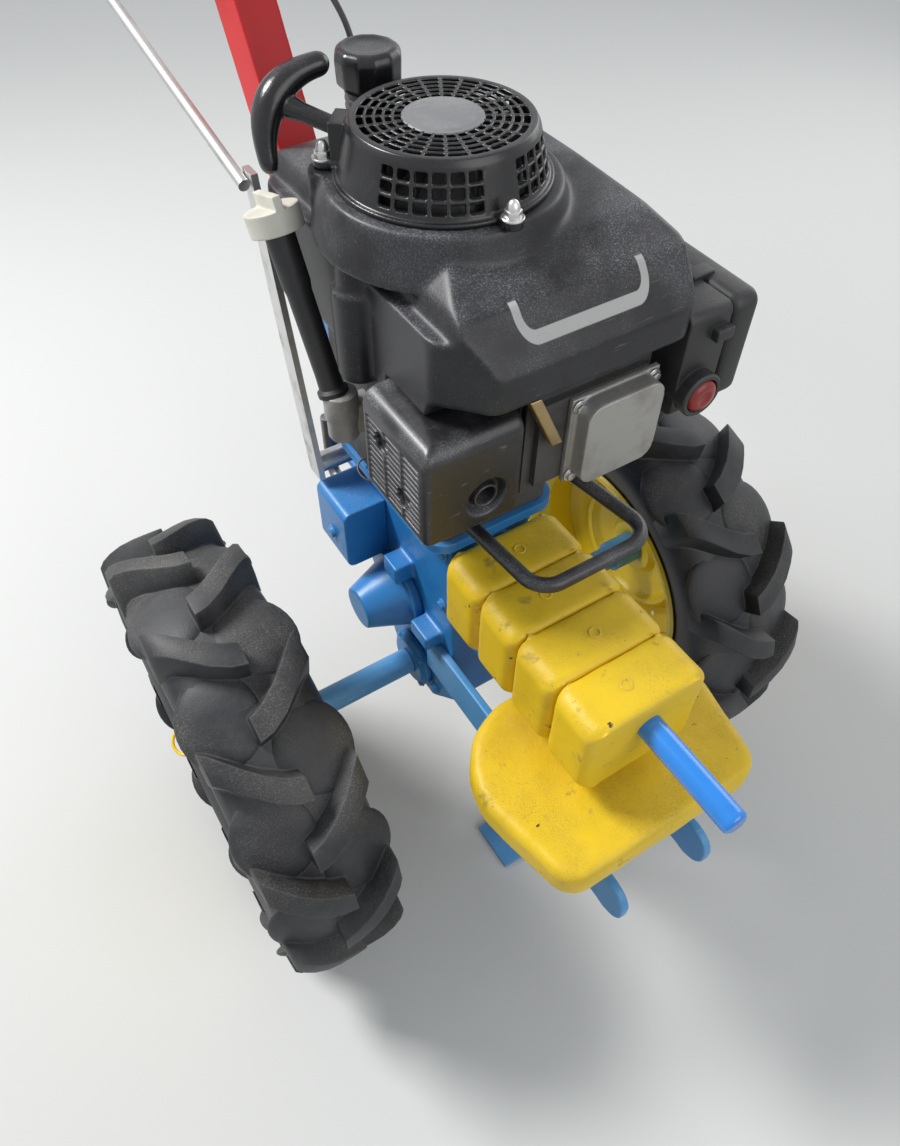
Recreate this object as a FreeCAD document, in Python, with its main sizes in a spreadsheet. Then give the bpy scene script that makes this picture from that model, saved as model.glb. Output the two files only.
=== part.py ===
# Two-wheel walking tractor with a vertical-shaft engine, front weights and handlebars
# Millimetres. Front of the machine is -Y, its left side +X, Z up, ground at Z = 0.
# Every piece is modelled about the ground point below the axle and then shifted by axle_y,
# so that the whole machine stands with its middle over the origin.

import FreeCAD, Part
import math
import os
import re
import Sketcher
from FreeCAD import Vector

doc = FreeCAD.newDocument("WalkingTractor")

# Driving dimensions: name and value
SIZES = [
    # wheels
    ("tyre_radius", 285.0), ("lug_height", 24.0), ("tread_half", 64.0), ("shoulder_drop", 18.0),
    ("carcass_half", 68.0), ("lug_count", 12.0), ("lug_width", 30.0), ("lug_sweep", 56.0), ("lug_nose", 10.0),
    ("rim_radius", 168.0), ("rim_half", 52.0), ("rim_wall", 4.0), ("dish_depth", 36.0),
    ("half_track", 298.0), ("lever_side", 99.0),
    ("axle_stub_radius", 13.0), ("axle_stub_reach", 60.0), ("hub_tube_radius", 17.0),
    ("hub_collar_radius", 22.0), ("hub_collar_length", 50.0), ("running_gap", 0.08),
    ("seat_gap", 0.3),
    # gearbox
    ("gear_half", 52.0), ("gear_front", 76.0), ("gear_rear", 132.0), ("gear_top", 588.0),
    ("gear_bottom", 240.0), ("gear_knee", 400.0), ("socket_radius", 16.0),
    ("bearing_radius", 40.0), ("bearing_depth", 13.0),
    ("box_reach", 56.0), ("box_low", 440.0), ("box_tall", 90.0), ("box_rear", 165.0), ("box_long", 103.0),
    ("cone_root", 46.0), ("cone_tip", 27.0), ("cone_long", 64.0), ("cone_y", 30.0), ("cone_z", 400.0),
    ("deck_wall", 12.0), ("deck_half", 78.0), ("deck_front", 91.0), ("deck_rear", 131.7),
    # engine
    ("crank_y", 20.0), ("block_half", 74.0), ("block_front", 84.0), ("block_rear", 140.0),
    ("block_tall", 170.0), ("head_left", 138.0), ("head_right", -2.0), ("head_low", 672.0),
    ("head_tall", 116.0), ("head_front", 130.0), ("cover_x", 88.0), ("cover_z", 729.0),
    ("cover_wide", 88.0), ("cover_tall", 92.0), ("cover_deep", 24.0),
    ("shroud_low", 770.5), ("shroud_top", 926.0), ("shroud_roof", 914.0), ("shroud_nose", 850.0),
    ("shroud_rear", 204.0), ("shroud_front", 152.0), ("shroud_right", 92.0), ("shroud_left", 164.0),
    ("ledge_z", 870.0), ("ledge_wide", 13.0), ("hood_right", 46.0), ("hood_left", 134.0),
    ("pedestal_radius", 101.0), ("shroud_round", 7.0),
    ("fan_radius", 75.0), ("fan_base_radius", 88.0), ("fan_flange_radius", 92.0), ("fan_tall", 46.5),
    ("fan_wall", 3.0), ("fan_hub_radius", 33.0), ("fan_rings", 5.0), ("fan_ribs", 24.0), ("fan_rib", 2.6),
    ("duct_angle", 138.0),
    ("window_rows", 3.0), ("window_step", 10.0), ("window_angle", 7.6), ("window_pitch", 10.8), ("window_tall", 8.2),
    ("ear_circle", 100.0), ("ear_boss_radius", 9.0), ("ear_tall", 7.0), ("nut_radius", 6.5), ("nut_tall", 13.0),
    ("cap_radius", 29.0), ("cap_tall", 30.0), ("neck_radius", 20.0), ("neck_tall", 29.0), ("cap_y", 142.0),
    ("pull_radius", 11.0),
    ("guard_left_x", 94.0), ("guard_right_x", -42.0), ("guard_z", 646.0), ("guard_front", 216.0),
    ("guard_tube_radius", 7.5), ("guard_bend", 26.0),
    ("muffler_out", 118.0), ("muffler_in", 16.0), ("muffler_front", 142.0), ("muffler_rear", 34.0),
    ("muffler_low", 680.0), ("muffler_top", 788.0), ("outlet_radius", 21.0),
    ("louvre_count", 12.0), ("louvre_pitch", 6.8), ("louvre_columns", 3.0),
    ("muffler_round", 16.0), ("hole_radius", 11.0), ("fin_count", 4.0), ("fin_wall", 3.2),
    ("filter_in", 164.3), ("filter_out", 232.0), ("filter_front", 154.0), ("filter_rear", -10.0),
    ("filter_low", 718.0), ("filter_top", 832.0), ("bulb_radius", 17.0),
    ("bulb_x", 171.0), ("bulb_z", 746.0), ("collar_wall", 6.0), ("cable_radius", 3.0),
    ("oil_tube_radius", 12.0), ("oil_cap_radius", 25.0),
    # front weights
    ("bar_radius", 13.5), ("bar_z", 555.0), ("bar_tip", 460.0), ("bar_seat", 86.0),
    ("block_wide", 142.0), ("block_deep", 62.0), ("block_drop", 72.0), ("block_rise", 34.0),
    ("block_pitch", 62.5), ("block_start", 93.0), ("block_round", 18.0), ("weight_count", 4.0),
    ("plate_low", 413.0), ("plate_thick", 44.0), ("plate_half", 150.0), ("plate_nose_half", 122.0),
    ("plate_front", 405.0), ("plate_back", 200.0), ("plate_wide_y", 268.0), ("plate_round", 46.0),
    ("rail_wall", 10.0), ("rail_top", 388.0), ("rail_low", 326.0), ("rail_deep", 58.0),
    ("rail_bend_y", 300.0), ("rail_toe_y", 428.0), ("rail_toe_top", 374.0), ("rail_rear", 42.0),
    ("tray_wall", 8.0),
    # parking stand
    ("stand_y", 215.0), ("stand_z", 352.0), ("stand_pin_radius", 8.0), ("stand_lean", 30.0),
    ("stand_tube_radius", 14.0), ("stand_bush_radius", 15.0), ("foot_long", 70.0), ("foot_wide", 80.0),
    ("foot_wall", 8.0),
    # hitch and handlebars
    ("hitch_half", 42.0), ("hitch_low", 405.0), ("hitch_high", 500.0), ("hitch_wall", 12.0),
    ("hitch_reach", 98.0), ("hitch_bore_radius", 12.5), ("hitch_bore_y", 205.0),
    ("bracket_half", 34.0), ("foot_pin_y", 262.0), ("foot_pin_rise", 80.0),
    ("column_wide", 45.0), ("column_deep", 60.0), ("column_wall", 4.0), ("column_long", 430.0),
    ("column_angle", 62.0), ("handle_pin_radius", 10.0), ("handle_pin_rise", 26.0),
    ("ear_radius", 16.0), ("ear_wall", 5.0), ("lug_radius", 20.0), ("yoke_half", 46.0),
    ("handle_tube_radius", 14.0), ("handle_tube_wall", 2.5), ("handle_end_y", 1130.0), ("grip_cap", 6.0),
    ("handle_half", 260.0), ("grip_long", 125.0), ("grip_radius", 18.0),
]
size = dict(SIZES)
size["axle_y"] = (size["bar_tip"] - size["handle_end_y"] - size["grip_cap"]) / 2
size["foot_y"] = size["stand_y"] - size["stand_lean"]
size["foot_pin_z"] = size["gear_top"] + size["foot_pin_rise"]

sheet = doc.addObject("Spreadsheet::Sheet", "Sizes")
for row, (name, value) in enumerate(size.items(), start=1):
    sheet.set(f"A{row}", name)
    sheet.set(f"B{row}", repr(value))
    sheet.setAlias(f"B{row}", name)
doc.recompute()

parts = []


def bound(text):
    """Turn size names in an expression into references to the sheet."""
    return re.sub(r"[a-z_]+[a-z]", lambda word: "Sizes." + word[0] if word[0] in size else word[0], str(text))


def bind(thing, **expressions):
    for prop, text in expressions.items():
        thing.setExpression(prop.replace("__", "."), bound(text))


def keep(thing, label, y="0"):
    """Register a finished sub-part: its label names its file, and it shifts with the axle."""
    thing.Label = label
    bind(thing, Placement__Base__y=f"axle_y + ({y})")
    parts.append(thing)
    return thing


def solid(label, shape):
    """A sub-part whose shape was worked out with Part's own functions."""
    thing = doc.addObject("Part::Feature", label)
    thing.Shape = shape
    return keep(thing, label, repr(shape.Placement.Base.y))


def block(low, high):
    """A box between two corners given as expressions."""
    thing = doc.addObject("Part::Box", "Box")
    spans = [f"({b}) - ({a})" for a, b in zip(low, high)]
    bind(thing, Length=spans[0], Width=spans[1], Height=spans[2])
    bind(thing, Placement__Base__x=low[0], Placement__Base__y=low[1], Placement__Base__z=low[2])
    return thing


TURNS = {"X": (Vector(0, 1, 0), 90), "Y": (Vector(1, 0, 0), -90), "Z": (Vector(0, 0, 1), 0)}


def rod(axis, start, radius, length, tip=None):
    """A cylinder, or a cone where a tip radius is given, that runs from start along an axis."""
    thing = doc.addObject("Part::Cylinder" if tip is None else "Part::Cone", "Rod")
    turn = TURNS[axis]
    thing.Placement = FreeCAD.Placement(Vector(), FreeCAD.Rotation(*turn))
    if tip is None:
        bind(thing, Radius=radius)
    else:
        bind(thing, Radius1=radius, Radius2=tip)
    bind(thing, Height=length)
    bind(thing, Placement__Base__x=start[0], Placement__Base__y=start[1], Placement__Base__z=start[2])
    return thing


def joined(pieces):
    thing = doc.addObject("Part::MultiFuse", "Joined")
    thing.Shapes = pieces
    thing.Refine = True
    return thing


def cut(base, tool):
    thing = doc.addObject("Part::Cut", "Cut")
    thing.Base = base
    thing.Tool = tool
    return thing


def outline(body, plane, points, offset="0"):
    """A closed sketch whose corners are bound to expressions."""
    sketch = body.newObject("Sketcher::SketchObject", "Outline")
    origin_plane = [item for item in body.Origin.OriginFeatures if item.Role == plane + "_Plane"][0]
    sketch.AttachmentSupport = [(origin_plane, "")]
    sketch.MapMode = "FlatFace"
    sketch.setExpression("AttachmentOffset.Base.z", bound(offset))
    count = len(points)
    ring = [Vector(math.cos(2 * math.pi * i / count), math.sin(2 * math.pi * i / count), 0) for i in range(count)]
    for i in range(count):
        sketch.addGeometry(Part.LineSegment(ring[i], ring[(i + 1) % count]), False)
    for i in range(count):
        sketch.addConstraint(Sketcher.Constraint("Coincident", i, 2, (i + 1) % count, 1))
    for i, corner in enumerate(points):
        for kind, start, text in zip(("DistanceX", "DistanceY"), (ring[i].x, ring[i].y), corner):
            number = sketch.addConstraint(Sketcher.Constraint(kind, -1, 1, i, 1, start))
            sketch.setExpression(f"Constraints[{number}]", bound(text))
    return sketch


def padded(plane, points, low, high):
    """A body padded from an outline between two places along the plane's normal."""
    body = doc.addObject("PartDesign::Body", "Body")
    offset = f"-({high})" if plane == "XZ" else low
    sketch = outline(body, plane, points, offset)
    pad = body.newObject("PartDesign::Pad", "Pad")
    pad.Profile = sketch
    bind(pad, Length=f"({high}) - ({low})")
    doc.recompute()
    return body


def turned(axis, points):
    """A body revolved about X or Z from an outline of (along, radius) or (radius, along)."""
    body = doc.addObject("PartDesign::Body", "Body")
    sketch = outline(body, "XZ", points)
    turn = body.newObject("PartDesign::Revolution", "Turn")
    turn.Profile = sketch
    turn.ReferenceAxis = (sketch, ["H_Axis" if axis == "X" else "V_Axis"])
    turn.Angle = 360
    doc.recompute()
    return body


def rounded(body, direction, radius, test=None):
    """Fillet the straight edges of a body that run along a direction."""
    tip = body.Tip
    names = []
    for number, edge in enumerate(tip.Shape.Edges, start=1):
        if edge.Curve.TypeId != "Part::GeomLine":
            continue
        run = edge.Vertexes[1].Point - edge.Vertexes[0].Point
        along = abs(run.normalize().dot(direction)) > 0.999
        if along and (test is None or test(edge.CenterOfMass)):
            names.append(f"Edge{number}")
    fillet = body.newObject("PartDesign::Fillet", "Fillet")
    fillet.Base = (tip, names)
    bind(fillet, Radius=radius)
    doc.recompute()
    return body


ALONG_X, ALONG_Y, ALONG_Z = Vector(1, 0, 0), Vector(0, 1, 0), Vector(0, 0, 1)


def ring_of(points):
    """A solid of revolution about X from (along, radius) numbers."""
    wire = Part.makePolygon([Vector(x, 0, r) for x, r in points + points[:1]])
    return Part.Face(wire).revolve(Vector(), ALONG_X, 360)


def tube_path(points, bend):
    """A wire of straight runs joined by arcs of one bend radius."""
    edges = []
    start = points[0]
    for before, corner, after in zip(points, points[1:], points[2:]):
        back = (before - corner).normalize()
        ahead = (after - corner).normalize()
        half = math.acos(max(-1.0, min(1.0, back.dot(ahead)))) / 2
        reach = bend / math.tan(half)
        enter = corner + back * reach
        leave = corner + ahead * reach
        middle = corner + (back + ahead).normalize() * (bend / math.sin(half) - bend)
        edges.append(Part.LineSegment(start, enter).toShape())
        edges.append(Part.Arc(enter, middle, leave).toShape())
        start = leave
    edges.append(Part.LineSegment(start, points[-1]).toShape())
    return Part.Wire(edges)


def swept(points, bend, radius, bore=0.0):
    """A round tube along straight runs and arcs."""
    path = tube_path(points, bend)
    heading = (points[1] - points[0]).normalize()
    tube = path.makePipeShell([Part.Wire(Part.makeCircle(radius, points[0], heading))], True, True)
    if bore:
        tube = tube.cut(path.makePipeShell([Part.Wire(Part.makeCircle(bore, points[0], heading))], True, True))
    return tube


# Wheels: one tyre shape, one rim and one hub tube, mirrored for the right side
def tyre_shape():
    crown, tip = size["tyre_radius"] - size["lug_height"], size["tyre_radius"]
    shoulder = crown - size["shoulder_drop"]
    half, tread, flat = size["carcass_half"], size["tread_half"], size["tread_half"] * 0.5
    bead, seat = size["rim_half"] - size["rim_wall"] - 3, size["rim_radius"] - 11 + size["seat_gap"]
    outside = [(bead, seat), (bead, size["rim_radius"] + 2), (half, size["rim_radius"] + 40),
               (tread, shoulder), (flat, crown)]
    inside = [(bead - 8, seat), (half - 14, size["rim_radius"] + 40), (flat, crown - 14)]
    profile = outside + [(-x, r) for x, r in reversed(outside)]
    profile += [(-x, r) for x, r in inside] + [(x, r) for x, r in reversed(inside)]
    carcass = ring_of(profile)
    # lugs stand on the carcass: a band of their height cut to a swept plan
    nose, edge = size["lug_nose"], half + 3
    band = ring_of([(-nose, crown - 4), (-nose, tip), (flat, tip - 4), (edge, shoulder + 3),
                    (edge, shoulder - 12), (flat, crown - 4)])
    width, sweep = size["lug_width"], size["lug_sweep"]
    plan = [(-nose - 1, -width / 2), (-nose - 1, width / 2), (flat, sweep * 0.62 + width * 0.42),
            (edge + 1, sweep + width * 0.8), (edge + 1, sweep - width * 0.35), (flat, sweep * 0.5 - width * 0.42)]
    corners = [Vector(x, along, shoulder - size["lug_height"]) for x, along in plan]
    prism = Part.Face(Part.makePolygon(corners + corners[:1])).extrude(Vector(0, 0, 4 * size["lug_height"]))
    lug = band.common(prism)
    mirrored = lug.mirror(Vector(), ALONG_X)
    count = int(size["lug_count"])
    lugs = []
    for number in range(count):
        turn = 360.0 * number / count
        lugs.append(lug.rotated(Vector(), ALONG_X, turn))
        lugs.append(mirrored.rotated(Vector(), ALONG_X, turn + 180.0 / count))
    return carcass.fuse(lugs).removeSplitter()


def place_wheel(thing, side):
    bind(thing, Placement__Base__x=f"{side} * half_track", Placement__Base__z="tyre_radius")
    return thing


RIM_PROFILE = [
    # along the axle outwards, radius
    ("-rim_half - 2", "rim_radius"), ("-rim_half + 3", "rim_radius"), ("-rim_half + 6", "rim_radius - 11"),
    ("-rim_half + 22", "rim_radius - 13.5"), ("-rim_half + 30", "rim_radius - 26"),
    ("rim_half - 30", "rim_radius - 26"), ("rim_half - 22", "rim_radius - 13.5"),
    ("rim_half - 6", "rim_radius - 11"), ("rim_half - 3", "rim_radius"), ("rim_half + 2", "rim_radius"),
    ("rim_half - 2", "rim_radius - 15"), ("rim_half - 19", "rim_radius - 17.5"),
    ("rim_half - 26", "rim_radius - 30"), ("dish_depth - 10", "rim_radius - 50"),
    ("dish_depth", "rim_radius - 72"), ("dish_depth", "hub_tube_radius + seat_gap"),
    ("dish_depth - 6", "hub_tube_radius + seat_gap"), ("dish_depth - 6", "rim_radius - 75"),
    ("dish_depth - 16", "rim_radius - 53"), ("rim_half - 32", "rim_radius - 30"),
    ("-rim_half + 26", "rim_radius - 30"), ("-rim_half + 19", "rim_radius - 17.5"),
    ("-rim_half + 2", "rim_radius - 15"),
]

tyre_solid = tyre_shape()
for side, hand in ((1, "left"), (-1, "right")):
    tyre = solid(f"tyre_{hand}", tyre_solid)
    place_wheel(tyre, side)
    rim = turned("X", [(f"{side} * ({x})", r) for x, r in RIM_PROFILE])
    place_wheel(keep(rim, f"rim_{hand}"), side)
    # hub tube from the bearing to the rim's outer face, bored to run on the axle stub
    inner, outer = "gear_half + bearing_depth + 1 - half_track", "dish_depth + 22"
    collar = "dish_depth - 6 - seat_gap"
    hub = turned("X", [(f"{side} * ({x})", r) for x, r in (
        (inner, "axle_stub_radius + running_gap"), (inner, "hub_tube_radius"),
        (f"{collar} - hub_collar_length", "hub_tube_radius"),
        (f"{collar} - hub_collar_length", "hub_collar_radius"), (collar, "hub_collar_radius"),
        (collar, "hub_tube_radius"), (outer, "hub_tube_radius"), (outer, "0"),
        (f"{inner} + axle_stub_reach", "0"), (f"{inner} + axle_stub_reach", "axle_stub_radius + running_gap"))])
    place_wheel(keep(hub, f"hub_tube_{hand}"), side)
    # bearing flange on the gearbox with the axle stub that carries the hub tube
    flange = "gear_half"
    axle = turned("X", [(f"{side} * ({x})", r) for x, r in (
        (flange, "0"), (flange, "bearing_radius"), (f"{flange} + bearing_depth - 5", "bearing_radius"),
        (f"{flange} + bearing_depth", "bearing_radius - 8"), (f"{flange} + bearing_depth", "axle_stub_radius"),
        (f"{flange} + bearing_depth + axle_stub_reach", "axle_stub_radius"),
        (f"{flange} + bearing_depth + axle_stub_reach", "0"))])
    bind(keep(axle, f"axle_bearing_{hand}"), Placement__Base__z="tyre_radius")

# Gearbox: tall cast housing with a selector box and a cone cover on its right side
casting = padded("YZ", [
    ("-gear_front", "gear_top"), ("-gear_front - 10", "420"), ("-gear_front - 16", "gear_bottom + 56"),
    ("-40", "gear_bottom"), ("46", "gear_bottom + 4"), ("gear_rear - 20", "gear_knee - 30"),
    ("gear_rear", "gear_knee"), ("gear_rear", "gear_top")], "-gear_half", "gear_half")
rounded(casting, ALONG_X, "12", lambda p: p.z < size["gear_top"] - 1)
bar_boss = rod("Y", ("0", "-bar_seat", "bar_z"), "bar_radius + 10", "bar_seat - gear_front + 6")
# bosses on both flanks, the fork seat above the axle and the lifting lug at the rear
bosses = []
for low, high in ((("-gear_half - 26", "cone_y - 32", "cone_z + cone_root + 7"),
                   ("-gear_half", "cone_y - 2", "cone_z + cone_root + 34")),
                  (("-gear_half - 24", "cone_y - 96", "cone_z - 8"), ("-gear_half", "cone_y - 58", "cone_z + 14")),
                  (("gear_half", "-10", "cone_z"), ("gear_half + 16", "70", "cone_z + 60"))):
    bosses.append(block(low, high))
keep(joined([casting, bar_boss] + bosses), "gearbox_housing")

selector = padded("XZ", [
    ("-gear_half - box_reach", "box_low"), ("-gear_half", "box_low"),
    ("-gear_half", "box_low + box_tall"), ("-gear_half - box_reach", "box_low + box_tall")],
    "box_rear - box_long", "min(box_rear; gear_rear)")
rounded(selector, ALONG_Y, "10", lambda p: p.x < -size["gear_half"] - 1)
selector_screw = rod("X", ("-gear_half - box_reach - 5", "box_rear - box_long + 34", "box_low + 36"), "7", "6")
keep(joined([selector, selector_screw]), "gear_selector_box")

cone = rod("X", ("-gear_half - cone_long", "cone_y", "cone_z"), "cone_tip", "cone_long - 12", "cone_root")
cone_flange = rod("X", ("-gear_half - 12", "cone_y", "cone_z"), "cone_root + 6", "12")
keep(joined([cone, cone_flange]), "pto_cover")

# Open tool socket at the gearbox's front, between the rails
socket_out = rod("Y", ("-14", "-gear_front - 52", "gear_knee + 20"), "socket_radius + 6", "42")
socket_bore = rod("Y", ("-14", "-gear_front - 53", "gear_knee + 20"), "socket_radius", "36")
keep(cut(cut(socket_out, socket_bore), casting), "front_socket")

deck = padded("XY", [("-deck_half", "-deck_front"), ("deck_half", "-deck_front"), ("deck_half", "deck_rear"),
                     ("-deck_half", "deck_rear")], "gear_top", "gear_top + deck_wall")
rounded(deck, ALONG_Z, "24")
keep(deck, "engine_deck")

# Engine: plain crankcase block, head with its cover, shroud and the fittings round it
crankcase = padded("XY", [("-block_half", "-block_front"), ("block_half", "-block_front"),
                          ("block_half", "block_rear"), ("-block_half", "block_rear")],
                   "gear_top + deck_wall", "gear_top + deck_wall + block_tall")
rounded(crankcase, ALONG_Z, "22")
keep(crankcase, "engine_block")

core = block(("head_right + 10", "-head_front", "head_low + 10"),
             ("head_left - 10", "-block_front", "head_low + head_tall - 10"))
fins = []
for number in range(int(size["fin_count"])):
    fin_y = f"-block_front - 4 - {number} * (head_front - block_front - 4) / fin_count"
    fins.append(block(("head_right", f"{fin_y} - fin_wall", "head_low"),
                      ("head_left", fin_y, "head_low + head_tall")))
keep(joined([core] + fins), "cylinder_head")

cover = padded("XZ", [(f"cover_x {a} cover_wide / 2", f"cover_z {b} cover_tall / 2")
                      for a, b in (("-", "-"), ("+", "-"), ("+", "+"), ("-", "+"))],
               "-head_front - cover_deep", "-head_front - 6")
rounded(cover, ALONG_Y, "16")
cover_lip = block(("cover_x - cover_wide / 2 - 6", "-head_front - 6", "cover_z - cover_tall / 2 - 6"),
                  ("cover_x + cover_wide / 2 + 6", "-head_front", "cover_z + cover_tall / 2 + 2"))
keep(joined([cover, cover_lip]), "valve_cover")

# Shroud: the body common to a plan, a side and a front profile, with rounded edges
plan = padded("XY", [
    ("-shroud_right", "shroud_rear - 16"), ("-shroud_right", "-shroud_front + 46"),
    ("-shroud_right + 36", "-shroud_front"), ("shroud_left - 14", "-shroud_front"),
    ("shroud_left", "-shroud_front + 92"), ("shroud_left", "shroud_rear - 30"),
    ("shroud_left - 30", "shroud_rear"), ("-shroud_right + 16", "shroud_rear")], "shroud_low", "shroud_top")
rounded(plan, ALONG_Z, "12")
side_view = padded("YZ", [
    ("shroud_rear", "shroud_low"), ("-shroud_front + 64", "shroud_low"), ("-shroud_front + 46", "shroud_low + 36"),
    ("-shroud_front", "shroud_low + 40"), ("-shroud_front", "shroud_nose - 6"),
    ("-shroud_front + 10", "shroud_nose + 10"),
    ("-shroud_front + 32", "shroud_nose + 36"), ("-shroud_front + 76", "shroud_roof - 8"), ("crank_y", "shroud_roof"),
    ("cap_y", "shroud_roof - 2"), ("shroud_rear", "shroud_roof - 26")], "-shroud_right", "shroud_left")
front_view = padded("XZ", [
    ("-shroud_right", "shroud_low"), ("shroud_left", "shroud_low"), ("shroud_left", "ledge_z"),
    ("shroud_left - 8", "ledge_z + 18"), ("hood_left", "shroud_roof + 1"), ("-hood_right", "shroud_roof + 1"),
    ("-shroud_right + ledge_wide + 6", "ledge_z + 18"), ("-shroud_right + ledge_wide", "ledge_z"),
    ("-shroud_right", "ledge_z")], "-shroud_front - 1", "shroud_rear + 1")
doc.recompute()
hood = plan.Shape.common(side_view.Shape).common(front_view.Shape).removeSplitter()
bends = []
for edge in hood.Edges:
    middle = edge.CenterOfMass
    flat = abs(middle.y - size["crank_y"]) < 1
    if middle.z > size["shroud_roof"] - 21 and middle.y < size["cap_y"] + 27 and edge.Length > 20 and not flat:
        bends.append(edge)
hood = hood.makeFillet(size["shroud_round"], bends)
crank = Vector(0, size["crank_y"], 0)
pedestal = Part.makeCone(size["pedestal_radius"] + 14, size["pedestal_radius"], 44,
                         crank + ALONG_Z * (size["shroud_top"] - 44))
filler = Part.makeCone(size["neck_radius"] + 20, size["neck_radius"] + 8, 44,
                       Vector(0, size["cap_y"], size["shroud_top"] - 44))
pillar = Vector(-size["shroud_right"], size["crank_y"] - 6, 0)
steps = [Part.makeCylinder(22, 90, pillar + ALONG_Z * (size["ledge_z"] - 106)),
         Part.makeCylinder(17, 40, pillar + ALONG_Z * (size["ledge_z"] - 30))]
corner = Vector(-size["ear_circle"] * 0.79, size["ear_circle"] * 0.61, size["shroud_top"] - 44)
corner_post = Part.makeCylinder(15, 44, crank + corner)
head_room = Part.makeBox(size["head_left"] - size["head_right"] + 2, size["head_front"] + 2, size["head_tall"] + 1,
                         Vector(size["head_right"] - 1, -size["head_front"] - 1, size["head_low"]))
cover_room = Part.makeBox(size["cover_wide"] + 14, 60, size["cover_tall"] + 10,
                          Vector(size["cover_x"] - size["cover_wide"] / 2 - 7, -size["head_front"] - 60,
                                 size["cover_z"] - size["cover_tall"] / 2 - 7))
muffler_room = Part.makeBox(130, size["muffler_front"] - size["muffler_rear"] + 40, 40,
                            Vector(-130, -size["muffler_front"] - 38, size["muffler_top"] - 39.7))
block_room = Part.makeBox(2 * size["block_half"], size["block_rear"] + size["block_front"], size["block_tall"],
                          Vector(-size["block_half"], -size["block_front"], size["gear_top"] + size["deck_wall"]))
shroud = hood.fuse([pedestal, filler, corner_post] + steps)
shroud = shroud.cut([head_room, muffler_room, cover_room, block_room])
solid("engine_shroud", shroud.removeSplitter())

# Fan cover: a solid disc in a grille of rings and ribs, over a skirt with rows of windows
top = size["shroud_top"] + size["fan_tall"]
base, wall, rib = size["shroud_top"], size["fan_wall"], size["fan_rib"]
outer, hub_radius, foot_radius = size["fan_radius"], size["fan_hub_radius"], size["fan_base_radius"]
WINDOW_GROUPS = [
    # from angle, to angle: panels between the groups stay closed
    (-158, -98), (-78, -8), (12, 92)]
skirt_wire = Part.makePolygon([Vector(r, 0, z) for r, z in (
    (outer - 6, top), (outer, top), (outer + 3, top - 5), (foot_radius, base + 4),
    (size["fan_flange_radius"], base + 4),
    (size["fan_flange_radius"], base), (foot_radius - wall - 1, base), (outer - 1, top - 6), (outer - 6, top - wall),
    (outer - 6, top))])
skirt = Part.Face(skirt_wire).revolve(Vector(), ALONG_Z, 360)
windows = []
for first, last in WINDOW_GROUPS:
    count = int((last - first) / size["window_step"])
    for column_number in range(count):
        for row_number in range(int(size["window_rows"])):
            low = base + 8 + size["window_pitch"] * row_number
            corners = [Vector(r, 0, z) for r, z in ((outer - 8, low), (foot_radius + 8, low),
                       (foot_radius + 8, low + size["window_tall"]), (outer - 8, low + size["window_tall"]))]
            gap = Part.Face(Part.makePolygon(corners + corners[:1])).revolve(Vector(), ALONG_Z, size["window_angle"])
            windows.append(gap.rotated(Vector(), ALONG_Z, first + size["window_step"] * column_number))
skirt = skirt.cut(windows)
rings = [Part.makeCylinder(hub_radius, wall, ALONG_Z * (top - wall))]
pitch = (outer - 5 - hub_radius) / size["fan_rings"]
for number in range(1, int(size["fan_rings"])):
    middle = hub_radius + pitch * number
    ring = Part.makeCylinder(middle + rib / 2, wall, ALONG_Z * (top - wall))
    rings.append(ring.cut(Part.makeCylinder(middle - rib / 2, wall, ALONG_Z * (top - wall))))
for number in range(int(size["fan_ribs"])):
    spoke = Part.makeBox(outer - 5 - hub_radius + 3, rib, wall, Vector(hub_radius - 2, -rib / 2, top - wall))
    rings.append(spoke.rotated(Vector(), ALONG_Z, 360.0 * number / size["fan_ribs"]))
ears = []
for turn in (-90, 38, 142):
    spot = Vector(size["ear_circle"], 0, base).sub(Vector())
    ear_plate = Part.makeCylinder(size["ear_boss_radius"], size["ear_tall"], spot)
    arm = Part.makeBox(14, 2 * size["ear_boss_radius"], size["ear_tall"],
                       Vector(foot_radius - 3, -size["ear_boss_radius"], base))
    ears.append(ear_plate.fuse(arm).rotated(Vector(), ALONG_Z, turn))
inside = Part.makeCone(foot_radius - wall - 1, outer - 1, size["fan_tall"] - 6, ALONG_Z * base)
duct = Part.makeBox(28, 28, size["fan_tall"] - 8, Vector(outer - 11, -14, base))
duct = duct.rotated(Vector(), ALONG_Z, size["duct_angle"])
nuts = []
for turn in (-90, 38, 142):
    spot = Vector(size["ear_circle"], 0, base + size["ear_tall"])
    nut = Part.makeCylinder(size["nut_radius"], size["nut_tall"] - 4, spot)
    dome = Part.makeCone(size["nut_radius"], size["nut_radius"] * 0.5, 4, spot + ALONG_Z * (size["nut_tall"] - 4))
    nuts.append(nut.fuse(dome).removeSplitter().rotated(Vector(), ALONG_Z, turn))
cover_shape = skirt.fuse(rings + [piece.cut(inside) for piece in ears + [duct]]).removeSplitter()
solid("fan_cover", cover_shape.translated(crank))
solid("fan_nuts", Part.makeCompound(nuts).translated(crank))

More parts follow.
